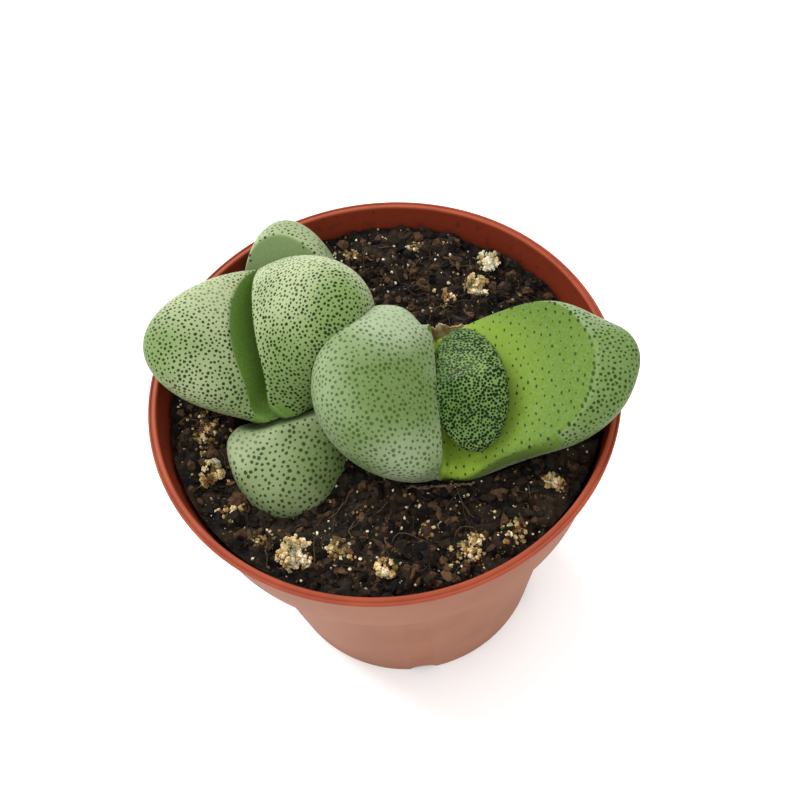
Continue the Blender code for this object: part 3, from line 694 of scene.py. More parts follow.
def leaf_finish(look):
    """Waxy leaf skin: green under a pale bloom, a smoother inner face, a pale margin and dark window dots. Where the
    bloom is thick it also paints light on lit tops, and where it thins the darker green paints shade on shaded sides.

    A dot is dark where the length of the way to its middle, in its own radii, is less than about 1. Dots on the far
    leaf can be weaker, and they fade under thick bloom.
    """
    leaf = Finish(look["name"], Roughness=0.5, Specular_IOR_Level=0.08, Sheen_Weight=0.03, Sheen_Roughness=0.4,
                  Subsurface_Weight=0.06, Subsurface_Scale=0.8 * MM)
    leaf.shader.inputs["Sheen Tint"].default_value = paint(235, 245, 225)
    leaf.shader.inputs["Subsurface Radius"].default_value = (0.6, 1.0, 0.3)
    skin, bloom_and_painted_light, face, valley, dot = (paint(*look[part]) for part in ("skin", "bloom_and_painted_light", "face", "valley", "dot"))
    # The pale bloom colour covers the skin where the bloom value is high: the wax bloom, and painted light on lit
    # tops; where the value is low the darker green skin is painted shade.
    powder = leaf.step(leaf.sum(leaf.product(leaf.waves(6.0), 0.5), leaf.value("bloom_and_painted_light")), 0.35, 1.15)
    color = leaf.mix(leaf.product(powder, look["bloom_share"]), skin, bloom_and_painted_light)
    face_color = leaf.mix(leaf.step(leaf.value("valley_share"), 0.15, 0.85), face, valley)
    color = leaf.mix(leaf.value("inner_face"), color, face_color)
    color = leaf.veil(color, bloom_and_painted_light, leaf.waves(0.35, 2.0, 3.1), 0.35, 0.75, 0.16)
    color = leaf.mix(leaf.product(leaf.value("edge_line"), 0.7), color, bloom_and_painted_light)
    away = leaf.add("VectorMath", {0: leaf.value("dot_offset", "Vector")}, operation="LENGTH").outputs["Value"]
    uneven = leaf.sum(away, leaf.product(leaf.sum(leaf.waves(0.45, 1.0, 7.7), -0.5), look["dot_uneven"]))
    spot = leaf.step(uneven, 1.0 + look["dot_soft"], 1.0 - look["dot_soft"])
    strength = leaf.sum(leaf.product(leaf.value("near_leaf"), 1.0 - look["far_dots"]), look["far_dots"])
    spot = leaf.product(spot, strength)
    faded = leaf.product(spot, leaf.sum(leaf.product(leaf.step(leaf.value("bloom_and_painted_light"), 0.6, 1.1), -0.45), 1.0))
    leaf.color(leaf.mix(faded, color, dot))
    leaf.roughness(spot, 0.52, 0.34)
    below = leaf.bump(leaf.waves(0.9, 3.0, 5.0), 0.03)
    leaf.bump(spot, 0.02, below)
    return leaf.material


def pot_finish():
    """Moulded terracotta plastic: clean orange lip, darker inside, and a dry dusty film outside with streaks."""
    pot = Finish("moulded_terracotta_plastic", Roughness=0.42, Specular_IOR_Level=0.22)
    dust = pot.value("dusty")
    inside = pot.value("inside")
    speck = pot.waves(0.28, 2.0, 2.0)
    clean = pot.mix(pot.step(pot.waves(5.0, 3.0, 4.4), 0.3, 0.7), paint(128, 50, 24), paint(138, 58, 30))
    film = pot.mix(pot.step(pot.waves(11.0, 4.0), 0.3, 0.7), paint(128, 78, 52), paint(137, 86, 60))
    film = pot.veil(film, paint(148, 98, 72), pot.waves(3.2, 4.0, squeeze=0.16), 0.4, 0.75, 0.12)
    color = pot.mix(dust, clean, film)
    color = pot.veil(color, paint(170, 134, 112), speck, 0.62, 0.8, pot.product(dust, 0.12))
    color = pot.mix(inside, color, paint(128, 50, 30))
    color = pot.veil(color, paint(62, 34, 24), pot.waves(1.4, 4.0, 6.6), 0.56, 0.75, pot.product(inside, 0.6))
    pot.color(color)
    pot.roughness(dust, 0.46, 0.66)
    pot.bump(speck, 0.012, pot.bump(pot.waves(1.6, 3.0, 9.0), 0.02))
    return pot.material


def grain_finish(name):
    """Loose bits, each in its own tone between a few colours, with fine mottling, stained patches and relief."""
    look = GRAIN_LOOKS[name]
    bits = Finish(name, Roughness=look["roughness"], Specular_IOR_Level=0.15)
    tone = bits.value("tone")
    colors = [paint(*shade) for shade in look["tones"]]
    color = colors[0]
    for index, other in enumerate(colors[1:]):
        low = (index + 0.35) / len(colors)
        color = bits.mix(bits.step(tone, low, low + 0.9 / len(colors)), color, other)
    color = bits.veil(color, colors[0], bits.waves(0.4), 0.4, 0.7, 0.45)
    if look["stain"]:
        color = bits.veil(color, paint(*look["stain"]), bits.waves(2.4, 2.0, 4.0), 0.52, 0.64, 0.6)
    bits.color(color)
    bits.bump(bits.waves(0.3, 3.0, 2.0), look["relief"])
    return bits.material


def soil_finish():
    """Damp peat: hollows between the crumbs darkened to near black, partly the peat's own dark and partly painted
    shade, brown crumbs and a few paler specks.
    """
    soil = Finish("damp_peat", Roughness=0.88, Specular_IOR_Level=0.12)
    height = soil.value("crumb_height")
    # The crumbs' height sets the colour: low hollows near black as painted shade, crumb tops brown.
    color = soil.mix(soil.step(height, -0.5, 0.9), paint(9, 8, 6), paint(42, 33, 23))
    color = soil.veil(color, paint(14, 14, 11), soil.waves(4.5, 3.0, 1.0), 0.46, 0.6, 0.8)
    color = soil.veil(color, paint(70, 54, 37), soil.waves(0.8, 4.0, 3.0), 0.58, 0.75, 0.6)
    color = soil.veil(color, paint(122, 103, 75), soil.waves(0.35, 2.0, 5.0), 0.68, 0.75, 0.7)
    soil.color(color)
    soil.roughness(soil.waves(2.2, 2.0, 8.0), 0.7, 0.98)
    soil.bump(soil.waves(0.28, 4.0, 6.0), 0.14)
    return soil.material


def root_finish():
    """Woody brown root with fine lengthwise grain."""
    root = Finish("woody_root", Roughness=0.8)
    grain = root.waves(0.4, 4.0, squeeze=0.2)
    root.color(root.mix(root.step(grain, 0.35, 0.7), paint(92, 62, 40), paint(158, 118, 82)))
    root.bump(grain, 0.12)
    return root.material


def papery_finish(name, pale, dark):
    """Dried leaf skin: pale and dark patches with fine wrinkles."""
    skin = Finish(name, Roughness=0.82, Sheen_Weight=0.1)
    wrinkle = skin.waves(0.5, 5.0, squeeze=0.3)
    color = skin.mix(skin.step(skin.waves(1.8, 4.0), 0.35, 0.65), paint(*pale), paint(*dark))
    skin.color(skin.veil(color, paint(60, 42, 28), wrinkle, 0.5, 0.75, 0.5))
    skin.bump(wrinkle, 0.12)
    return skin.material


def floor_finish():
    """Plain white paper, with a barely visible tooth."""
    paper = Finish("white_backdrop", Roughness=0.9, Specular_IOR_Level=0.1)
    color = paper.mix(paper.step(paper.waves(60.0, 2.0), 0.3, 0.7), (0.95, 0.95, 0.95, 1.0), (0.98, 0.98, 0.98, 1.0))
    paper.color(color)
    return paper.material


# ---------------------------------------------------------------- leaves

def leaf_section(leaf, depth):
    """One leaf's section across the split, from the valley over the margin to the base.

    The inner face is the quadratic Bezier of the valley, a middle point pushed in by the hollow, and the margin.
    The back is the cubic Bezier of the margin, a shoulder, a foot and the base. Columns: across, up, fullness,
    distance inside the margin, share of the way down to the valley.
    """
    opening, lift = math.radians(leaf["open"]), math.radians(leaf["swell_up"])
    up_face = np.array([math.sin(opening), math.cos(opening)])
    off_face = np.array([math.cos(opening), -math.sin(opening)])
    margin = leaf["face"] * up_face
    shoulder = margin + leaf["swell"] * (math.cos(lift) * off_face + math.sin(lift) * up_face)
    t = np.linspace(0.0, 1.0, SECTION_SAMPLES)[:, None]
    face = bezier([0.0 * margin, 0.5 * margin - leaf["hollow"] * off_face, margin], t)
    back = bezier([margin, shoulder, np.array([leaf["foot"], -depth]), np.array([0.0, -depth])], t)
    points = np.concatenate([face, back[1:]])
    fullness = np.concatenate([np.sin(0.5 * np.pi * t), np.cos(0.5 * np.pi * t ** BACK_FULLNESS)[1:]])[:, 0]
    walked = np.concatenate([[0.0], np.cumsum(np.linalg.norm(np.diff(points, axis=0), axis=1))])
    inside = walked[SECTION_SAMPLES - 1] - walked
    down = np.concatenate([1.0 - t, 0.0 * t[1:]])[:, 0]
    return np.column_stack([points, fullness, inside, down])


def smoothed(points, step, spread):
    """A closed line smoothed over a spread in millimetres: each point is blended with its neighbours many times."""
    for _ in range(int(round(2.0 * (spread / step) ** 2))):
        points = 0.25 * np.roll(points, 1, axis=0) + 0.5 * points + 0.25 * np.roll(points, -1, axis=0)
    return points


def pair_section(pair, count):
    """The closed section of a pair, evenly stepped and rounded: near leaf out, then far leaf back.

    Columns: across, up, near fullness, far fullness, distance inside the margin, share down, near leaf or not,
    and across and up of a still rounder section.
    """
    near = leaf_section(pair["near"], pair["depth"])
    far = leaf_section(pair["far"], pair["depth"])[::-1]
    none = np.zeros(len(near))
    near = np.column_stack([near[:, 0], near[:, 1], near[:, 2], none, near[:, 3], near[:, 4], none + 1.0])
    far = np.column_stack([-far[:, 0], far[:, 1], none, far[:, 2], far[:, 3], far[:, 4], none])
    loop = np.concatenate([near, far[1:]])
    walked = np.concatenate([[0.0], np.cumsum(np.linalg.norm(np.diff(loop[:, :2], axis=0), axis=1))])
    steps = np.arange(count) * walked[-1] / count
    even = np.column_stack([np.interp(steps, walked, column) for column in loop.T])
    step = walked[-1] / count
    even[:, :2] = smoothed(even[:, :2], step, pair.get("rounding", step))
    return np.column_stack([even, smoothed(even[:, :2], step, END_ROUNDING)])


def pair_places(pair, section, angle):
    """Carries the section from end to end of the split.

    It shrinks by the cosine of the angle to the power of its bluntness, runs along by half the split times the
    sine, widened and swept by how fully a point belongs to its leaf, and its ends rise by the sine squared. A
    fill lifts the valley toward the middle between the two margins, all along or only at the front end. There the
    near leaf can take the rounder section as well.
    """
    across, up, near_full, far_full = section.T[:4]
    near, far = pair["near"], pair["far"]
    cosine, sine = np.cos(angle)[:, None], np.sin(angle)[:, None]
    own = np.minimum(1.0, LEAF_OWN_SHARE * (near_full + far_full))
    own_blunt = np.where(near_full > 0.0, near["blunt"], far["blunt"])
    blunt = 0.5 * (near["blunt"] + far["blunt"]) * (1.0 - own) + own_blunt * own
    shrink = np.maximum(cosine, 0.0) ** blunt
    low = np.clip(-up / pair["depth"], 0.0, 1.0)
    fill, front_fill = pair.get("fill", (0.0, 0.0))
    fill = (fill + front_fill * smooth_step(-angle, *np.radians(FRONT_FILL_ANGLES)))[:, None] * section[:, 5]
    at_end = smooth_step(-angle, *np.radians(ROUNDED_END_ANGLES))[:, None]
    rounder = pair.get("end_rounded", 0.0) * at_end * section[:, 6]
    across = across + rounder * (section[:, 7] - across)
    up = up + rounder * (section[:, 8] - up)
    near_way, far_way = math.radians(near["open"]), math.radians(far["open"])
    across = across + 0.5 * fill * (near["face"] * math.sin(near_way) - far["face"] * math.sin(far_way))
    up = up + 0.5 * fill * (near["face"] * math.cos(near_way) + far["face"] * math.cos(far_way))
    widen = near["widen"] * near_full + far["widen"] * far_full - pair["waist"] * low
    sweep = near["sweep"] * near_full + far["sweep"] * far_full
    middle = 0.5 * pair["depth"]
    along = pair["half_split"] * sine * (1.0 + widen * cosine) + sweep * cosine
    height = (up + middle) * shrink - middle + pair["end_rise"] * sine ** 2
    points = np.stack([across * shrink, along, height], axis=-1)
    turn = turn_matrix(pair["turn"], "Z") @ turn_matrix(pair["rise"], "X") @ turn_matrix(pair["lean"], "Y")
    return np.array(pair["valley"]) + points @ turn.T


def eased(name, points):
    """Shifts the skin near a few places, by a bell curve of the distance to each, or parts it there to both sides."""
    for place, radius, shift in EASED[name]:
        away = np.linalg.norm(points - np.array(place), axis=-1, keepdims=True)
        points = points + np.exp(-(away / radius) ** 2) * np.array(shift)
    for place, radius, width, amount in PARTED.get(name, ()):
        off = points - np.array(place)
        fade = np.exp(-(np.linalg.norm(off, axis=-1) / radius) ** 2)
        points = points + (amount * fade * np.tanh(off[..., 0] / width))[..., None] * np.array([1.0, 0.0, 0.0])
    return points


def pair_hull(name, sides):
    """The convex shape round one leaf of a pair or round both, as a bmesh in millimetres.

    Points that agree to a thousandth of a millimetre count as one.
    """
    around, rings = HULL_STEPS
    pair = PAIRS[name]
    section = pair_section(pair, around)
    kept = np.zeros(around, dtype=bool)
    for side in sides:
        kept |= side * section[:, 0] >= 0.0
    points = pair_places(pair, section[kept], np.linspace(-0.5 * np.pi, 0.5 * np.pi, rings)).reshape(-1, 3)
    points = eased(name, points)
    cloud = bpy.data.meshes.new(name + "_cloud")
    cloud.from_pydata(np.unique(points.round(3), axis=0).tolist(), [], [])
    shape = bmesh.new()
    shape.from_mesh(cloud)
    bpy.data.meshes.remove(cloud)
    loose = bmesh.ops.convex_hull(shape, input=shape.verts)["geom_interior"]
    bmesh.ops.delete(shape, geom=loose, context="VERTS")
    shape.verts.index_update()
    bmesh.ops.recalc_face_normals(shape, faces=shape.faces)
    shape.normal_update()
    return shape


def hull_planes(name, sides):
    """The hull's outward directions and how far out each of its flats lies."""
    shape = pair_hull(name, sides)
    normals = np.array([tuple(face.normal) for face in shape.faces])
    reaches = np.array([face.normal.dot(face.verts[0].co) for face in shape.faces])
    shape.free()
    return normals, reaches


def hull_cutter(name, sides, clearance):
    """The swelled hull as an object that cuts others."""
    shape = pair_hull(name, sides)
    points = np.array([tuple(vert.co + clearance * vert.normal) for vert in shape.verts])
    faces = np.array([[vert.index for vert in face.verts] for face in shape.faces])
    shape.free()
    return put_object(f"{name}_hull", points, [faces])


def depth_inside(points, planes):
    """How deep each point lies inside a hull: negative outside it."""
    normals, reaches = planes
    return np.min(reaches - points @ normals.T, axis=1)


def grow_skin(name):
    """The pair's skin: rings of the section, closed by a pole at each end of the split, with slow unevenness.

    The inner face shows down to its margin, and near the front end of the split it can run out over the near leaf.
    The pale band along the margin is a bell curve of the distance inside it.
    """
    pair = PAIRS[name]
    around, rings = SKIN_STEPS[name]
    section = pair_section(pair, around)
    angle = np.linspace(-0.5 * np.pi, 0.5 * np.pi, rings)[1:-1]
    grid = pair_places(pair, section, angle).reshape(-1, 3)
    poles = pair_places(pair, section[:1], np.array([-0.5 * np.pi, 0.5 * np.pi])).reshape(-1, 3)
    points = eased(name, np.concatenate([grid, poles]))
    centre = np.array(pair["valley"])
    outward = (points - centre) / np.linalg.norm(points - centre, axis=1)[:, None]
    for seed, (size, height) in enumerate(SKIN_WAVES):
        points = points + (height * rough(points, size, seed + 1))[:, None] * outward
    inside, down, near = (np.concatenate([np.tile(column, rings - 2), [column[0], column[0]]])
                          for column in section.T[4:7])
    end = np.concatenate([np.repeat(np.sin(angle), around), [-1.0, 1.0]])
    runs_out = pair.get("face_runs_out", 0.0)
    shown = inside + runs_out * near * smooth_step(-end, *FACE_RUN_OUT_ENDS)
    soft = FACE_SOFTNESS + runs_out * FACE_RUN_OUT_SOFTNESS * near * smooth_step(-end, *FACE_RUN_OUT_SOFT_ENDS)
    bare = pair.get("face_shown", 1.0) * smooth_step(shown / soft, *FACE_CHANGE)
    for place, radius in BARE[name]:
        away = np.linalg.norm(points - np.array(place), axis=1)
        bare = np.maximum(bare, smooth_step(away, *(radius * share for share in BARE_FADE)))
    middle, half, strength = np.where(near[:, None] > 0.5, *EDGE_BANDS[name]).T
    values = {
        "inner_face": bare, "edge_line": strength * np.exp(-((shown - middle) / half) ** 2),
        "valley_share": down, "near_leaf": near, "margin_distance": inside,
    }
    return put_object(name + "_skin", points, closed_faces(rings - 2, around), values)


def random_on_skin(mesh, count, rng):
    """Places spread evenly at random over a mesh, and the skin's values there."""
    mesh.calc_loop_triangles()
    corners = np.zeros(3 * len(mesh.loop_triangles), dtype=np.int32)
    mesh.loop_triangles.foreach_get("vertices", corners)
    corners = corners.reshape(-1, 3)
    points = take_points(mesh)
    a, b, c = points[corners[:, 0]], points[corners[:, 1]], points[corners[:, 2]]
    areas = 0.5 * np.linalg.norm(np.cross(b - a, c - a), axis=1)
    chosen = rng.choice(len(corners), size=count, p=areas / areas.sum())
    u, v = rng.random(count), rng.random(count)
    flip = u + v > 1.0
    u, v = np.where(flip, 1.0 - u, u), np.where(flip, 1.0 - v, v)
    weights = np.stack([1.0 - u - v, u, v], axis=1)
    places = np.einsum("nk,nkd->nd", weights, points[corners[chosen]])
    values = {key: np.einsum("nk,nk->n", weights, take_values(mesh, key)[corners[chosen]])
              for key in ("inner_face", "margin_distance", "near_leaf")}
    return places, values, areas.sum()


def keep_apart(places, spacings):
    """Keeps each place in turn that lies farther than its spacing from every place kept before it."""
    cube = float(spacings.max())
    cells, kept = {}, []
    steps = list(itertools.product((-1, 0, 1), repeat=3))
    for index, (x, y, z) in enumerate(places.tolist()):
        key = (int(x // cube), int(y // cube), int(z // cube))
        limit = spacings[index] ** 2
        free = True
        for i, j, k in steps:
            for ox, oy, oz in cells.get((key[0] + i, key[1] + j, key[2] + k), ()):
                if (ox - x) ** 2 + (oy - y) ** 2 + (oz - z) ** 2 < limit:
                    free = False
                    break
            if not free:
                break
        if free:
            cells.setdefault(key, []).append((x, y, z))
            kept.append(index)
    return np.array(kept)


def nearest_dots(points, dots, reach):
    """For each point the number of its nearest dot within reach, or -1, by sorting the dots into cubes."""
    low = np.minimum(points.min(axis=0), dots.min(axis=0)) - 2.0 * reach
    span = CUBES_ACROSS ** np.arange(3)
    keys = np.floor((dots - low) / reach).astype(np.int64) @ span
    order = np.argsort(keys)
    keys = keys[order]
    cells = np.floor((points - low) / reach).astype(np.int64)
    best = np.full(len(points), reach)
    found = np.full(len(points), -1)
    for step in itertools.product((-1, 0, 1), repeat=3):
        wanted = (cells + np.array(step)) @ span
        first = np.searchsorted(keys, wanted, "left")
        last = np.searchsorted(keys, wanted, "right")
        for extra in range(int((last - first).max(initial=0))):
            some = np.nonzero(first + extra < last)[0]
            dot = order[first[some] + extra]
            away = np.linalg.norm(dots[dot] - points[some], axis=1)
            closer = away < best[some]
            best[some[closer]] = away[closer]
            found[some[closer]] = dot[closer]
    return found


def place_dots(thing, name, seed):
    """Window dots: even random spacing over the backs, sparser on the faces, and a row inside the margin.

    Each face takes the dot nearest to its middle, and its corners hold the way to that dot in the dot's own
    radii, so a dot is drawn round however large the faces of the mesh are.
    """
    rng = np.random.default_rng(seed)
    pair, plan = PAIRS[name], DOTS[name]
    near, far = plan["near"], plan["far"]
    mesh = thing.data
    _, _, area = random_on_skin(mesh, 1, rng)
    count = int(DOT_TRIES * area / min(near[0], far[0]) ** 2)
    places, values, _ = random_on_skin(mesh, count, rng)
    on_face = values["inner_face"] > 0.5
    inside = values["margin_distance"]
    on_near = values["near_leaf"] > 0.5
    on_back = np.where(on_near[:, None], near, far)
    apart, size = np.where(on_face[:, None], plan["face"] or (near[0], 0.0), on_back).T
    wanted = size > 0.0
    first = np.zeros(count, dtype=bool)
    if plan["row"]:
        row_spacing, row_inside = plan["row"]
        off_row = np.abs(inside - row_inside)
        in_row = (off_row < DOT_ROW_HALF) & on_near
        beside = (off_row < DOT_ROW_CLEAR_HALF) & ~in_row & on_near
        apart = np.where(in_row, row_spacing, apart)
        size = np.where(in_row, near[1], size)
        wanted &= ~beside
        first = in_row
    order = np.concatenate([np.nonzero(first & wanted)[0], np.nonzero(~first & wanted)[0]])
    kept = order[keep_apart(places[order], apart[order])]
    dots = places[kept]
    sizes = size[kept] * rng.uniform(*DOT_SIZE_SPREAD, size=len(kept))
    corners, counts = take_corners(mesh)
    points = take_points(mesh)[corners]
    starts = np.concatenate([[0], np.cumsum(counts)[:-1]])
    centres = np.add.reduceat(points, starts, axis=0) / counts[:, None]
    found = np.repeat(nearest_dots(centres, dots, DOT_REACH), counts)
    way = dots[found] - points
    along = (turn_matrix(pair["turn"], "Z") @ turn_matrix(pair["rise"], "X"))[:, 1]
    stretch = np.where(on_face[kept], plan["stretch"], 1.0)[found]
    shorten = (1.0 / stretch - 1.0) * (way @ along)
    way = (way + shorten[:, None] * along) / sizes[found][:, None]
    way[found < 0] = NO_DOT
    put_values(mesh, "dot_offset", way, "CORNER")


def bloom_with_painted_light_and_shade(thing, name):
    """How thickly the pale bloom lies, with painted light and shade: slow random waves, less a bell curve round each
    patch, which thins it to paint shade on shaded sides and thickens it to paint light on lit tops.
    """
    points = take_points(thing.data)
    size, height = BLOOM_WAVES
    bloom_and_painted_light = BLOOM_MIDDLE + height * rough(points, size, BLOOM_SEED)
    # Patches darken the skin where the amount is positive, partly as painted shade, and pale it where the amount is
    # negative, partly as painted light.
    for x, y, z, radius, amount in BLOOM_LIGHT_AND_SHADE_PATCHES[name]:
        away = np.linalg.norm(points - np.array([x, y, z]), axis=1)
        bloom_and_painted_light -= amount * np.exp(-(away / radius) ** 2)
    put_values(thing.data, "bloom_and_painted_light", np.clip(bloom_and_painted_light, 0.0, 1.0))


def dress_pairs():
    """The four leaf pairs, pressed flat against their neighbours, with their dots and bloom, and painted light and
    shade.
    """
    skins = {name: grow_skin(name) for name in PAIRS}
    for name, neighbours in GIVES_WAY_TO.items():
        carve(skins[name], [hull_cutter(neighbour, (side,), PRESS_CLEARANCE)
                            for neighbour in neighbours for side in (1, -1)])
    for seed, (name, skin) in enumerate(skins.items(), DOT_SEED):
        place_dots(skin, name, seed)
        bloom_with_painted_light_and_shade(skin, name)
        slot = "young_green_leaf" if name == "right_young_pair" else "grey_green_leaf"
        finish_piece(skin, leaf_finish(LEAF_LOOKS[name]), slot, name)


# ---------------------------------------------------------------- pot

def body_radius(z):
    """Outer radius of the tapered body below the collar."""
    share = z / (POT_HEIGHT - POT_COLLAR_HEIGHT)
    return POT_BASE_RADIUS + share * (POT_BODY_TOP_RADIUS - POT_BASE_RADIUS)


def collar_radius(z):
    """Outer radius of the collar."""
    share = (z - POT_HEIGHT + POT_COLLAR_HEIGHT) / (POT_COLLAR_HEIGHT - POT_BEAD_HEIGHT)
    return POT_COLLAR_FOOT_RADIUS + share * (POT_COLLAR_TOP_RADIUS - POT_COLLAR_FOOT_RADIUS)


def soften(corners, reach, steps=4):
    """A profile whose corners are rounded: each becomes the quadratic Bezier between points near it."""
    rounded = [corners[0]]
    for before, corner, after in zip(corners, corners[1:], corners[2:]):
        back, ahead = before - corner, after - corner
        back = corner + back * min(POT_ROUNDING_LIMIT, reach / np.linalg.norm(back))
        ahead = corner + ahead * min(POT_ROUNDING_LIMIT, reach / np.linalg.norm(ahead))
        rounded += [bezier([back, corner, ahead], t) for t in np.linspace(0.0, 1.0, steps + 1)]
    rounded.append(corners[-1])
    return np.array(rounded)


def turned(name, profile, steps):
    """A profile of (radius, height) points turned about the vertical; its two ends lie on the axis."""
    grid = level_rings(*profile[1:-1].T, np.linspace(0.0, 2.0 * np.pi, steps, endpoint=False))
    points = np.concatenate([grid, [[0.0, 0.0, profile[0, 1]], [0.0, 0.0, profile[-1, 1]]]])
    return put_object(name, points, closed_faces(len(profile) - 2, steps))


def drain_bar(index):
    """A short round bar that cuts one drain notch: a circle carried along the pot's radius."""
    heading = 2.0 * np.pi * (index + 0.5) / DRAIN_COUNT
    way = np.array([math.cos(heading), math.sin(heading), 0.0])
    side = np.array([-way[1], way[0], 0.0])
    angle = np.linspace(0.0, 2.0 * np.pi, DRAIN_SIDES, endpoint=False)
    circle = DRAIN_RADIUS * (np.cos(angle)[:, None] * side + np.sin(angle)[:, None] * np.array([0.0, 0.0, 1.0]))
    ends = [(POT_BASE_RADIUS + shift) * way for shift in (-0.5 * DRAIN_DEPTH, 0.5 * DRAIN_DEPTH)]
    points = np.concatenate([circle + ends[0], circle + ends[1], ends])
    return put_object(f"drain_bar_{index}", points, closed_faces(2, DRAIN_SIDES))


def dress_pot():
    """The moulded pot: a softened profile turned round, with drain notches cut into its bottom edge."""
    foot = POT_HEIGHT - POT_COLLAR_HEIGHT
    under_bead = POT_HEIGHT - POT_BEAD_HEIGHT
    lip_inner = POT_RIM_RADIUS - POT_LIP_WIDTH
    corners = np.array([
        (0.0, POT_FLOOR),
        (body_radius(POT_FLOOR) - POT_WALL, POT_FLOOR),
        (body_radius(foot) - POT_WALL, foot + POT_WALL),
        (collar_radius(foot + POT_WALL) - POT_WALL, foot + POT_SHELF),
        (collar_radius(under_bead) - POT_WALL, under_bead - LIP_INNER_SLOPE),
        (lip_inner, POT_HEIGHT),
        (POT_RIM_RADIUS - LIP_GROOVE_IN - LIP_GROOVE_WIDTH, POT_HEIGHT),
        (POT_RIM_RADIUS - LIP_GROOVE_IN, POT_HEIGHT - LIP_GROOVE_DEPTH),
        (POT_RIM_RADIUS - LIP_GROOVE_IN + LIP_GROOVE_EDGE[0], POT_HEIGHT - LIP_GROOVE_EDGE[1]),
        (POT_RIM_RADIUS, POT_HEIGHT),
        (POT_RIM_RADIUS, under_bead),
        (collar_radius(under_bead), under_bead - BEAD_UNDERSIDE_STEP),
        (POT_COLLAR_FOOT_RADIUS, foot),
        (body_radius(foot), foot),
        (POT_BASE_RADIUS, 0.0),
        (0.0, 0.0),
    ])
    profile = soften(corners, POT_ROUNDING)
    pot = turned("moulded_pot", profile, POT_STEPS)
    carve(pot, [drain_bar(index) for index in range(DRAIN_COUNT)])
    x, y, height = take_points(pot.data).T
    radius = np.hypot(x, y)
    outer = np.where(height > foot, collar_radius(height), body_radius(height))
    between = (height > 0.5 * POT_FLOOR) & (height < POT_HEIGHT - LIP_CLEAN_INSIDE)
    inside = ((radius < outer - 0.5 * POT_WALL) & between).astype(float)
    put_values(pot.data, "inside", inside)
    put_values(pot.data, "dusty", smooth_step(under_bead + DUST_START - height, 0.0, DUST_SPREAD) * (1.0 - inside))
    return finish_piece(pot, pot_finish(), "terracotta_plastic", "pot")


# ---------------------------------------------------------------- soil

def slow_soil_grid():
    """The slow waves of the soil's top, as the solid has them, on a grid of places one millimetre apart."""
    reach = int(POT_RIM_RADIUS) + 2
    places = range(-reach, reach + 1)
    rows = [[sum(share * noise.noise(Vector((x / size, y / size, level))) for share, size, level in SOIL_WAVES)
             for y in places] for x in places]
    return reach, np.array(rows)


SLOW_REACH, SLOW_WAVES = slow_soil_grid()


def soil_level(x, y):
    """Slow height of the soil's top: lower toward the pot by the fourth power of the radius, with waves and dips.

    The waves are blended between the four places of the grid round each point.
    """
    column, row = (np.clip(place + SLOW_REACH, 0.0, 2.0 * SLOW_REACH - TOUCH) for place in (x, y))
    i, j = column.astype(int), row.astype(int)
    u, v = column - i, row - j
    waves = (SLOW_WAVES[i, j] * (1 - u) * (1 - v) + SLOW_WAVES[i + 1, j] * u * (1 - v)
             + SLOW_WAVES[i, j + 1] * (1 - u) * v + SLOW_WAVES[i + 1, j + 1] * u * v)
    dips = sum(depth * np.exp(-((x - a) ** 2 + (y - b) ** 2) / radius ** 2) for a, b, radius, depth in SOIL_DIPS)
    return SOIL_LEVEL - SOIL_RIM_DROP * (np.hypot(x, y) / POT_RIM_RADIUS) ** 4 + SOIL_ROUGHNESS * waves - dips


def soil_crumbs(x, y):
    """Crumbs: the size of random waves of three sizes, added up, which gives round lumps with creases between."""
    places = np.stack([x, y, 0.0 * x], axis=-1)
    crumbs = sum(height * np.abs(rough(places, size, SOIL_CRUMB_SEED + size)) for size, height in SOIL_CRUMBS)
    return crumbs - SOIL_CRUMB_DROP


def soil_top(x, y):
    """Height of the soil's top with its crumbs."""
    return soil_level(x, y) + soil_crumbs(x, y)


def dress_soil():
    """The root ball: crumbly top and plain sides that follow the pot, hollowed under the heads."""
    foot = POT_HEIGHT - POT_COLLAR_HEIGHT
    side_room = POT_WALL + SOIL_SIDE_GAP
    shelf = foot + POT_SHELF + SOIL_SIDE_GAP
    edge = collar_radius(SOIL_LEVEL - SOIL_RIM_DROP) - side_room
    rings = edge * np.linspace(0.0, 1.0, SOIL_RINGS + 1)
    top = np.column_stack([rings, np.full(SOIL_RINGS + 1, SOIL_LEVEL)])
    sides = np.array([
        (collar_radius(shelf) - side_room, shelf),
        (body_radius(foot) - side_room, shelf),
        (body_radius(POT_FLOOR) - side_room, POT_FLOOR + SOIL_FLOOR_GAP),
        (0.0, POT_FLOOR + SOIL_FLOOR_GAP),
    ])
    soil = turned("peaty_soil", np.concatenate([top, sides]), SOIL_STEPS)
    points = take_points(soil.data)
    upper = points[:, 2] > SOIL_LEVEL - TOUCH
    x, y, _ = points.T
    crumbs = soil_crumbs(x, y)
    points[:, 2] = np.where(upper, soil_level(x, y) + crumbs, points[:, 2])
    soil.data.vertices.foreach_set("co", (points * MM).astype(np.float32).ravel())
    put_values(soil.data, "crumb_height", np.where(upper, crumbs, SOIL_SIDE_CRUMB))
    carve(soil, [hull_cutter(name, (1, -1), SOIL_NEST_GAP) for name in IN_THE_SOIL])
    return finish_piece(soil, soil_finish(), "dark_soil", "soil")


def ball_lattice(sides=7, rings=4):
    """Directions of a small ball's points, rings from pole to pole, with its four-sided and its end faces."""
    up = np.pi * (np.arange(1, rings + 1) / (rings + 1) - 0.5)
    grid = level_rings(np.cos(up), np.sin(up), 2.0 * np.pi * np.arange(sides) / sides)
    quads, *caps = closed_faces(rings, sides)
    return np.concatenate([grid, [[0.0, 0.0, -1.0], [0.0, 0.0, 1.0]]]), quads, np.concatenate(caps)


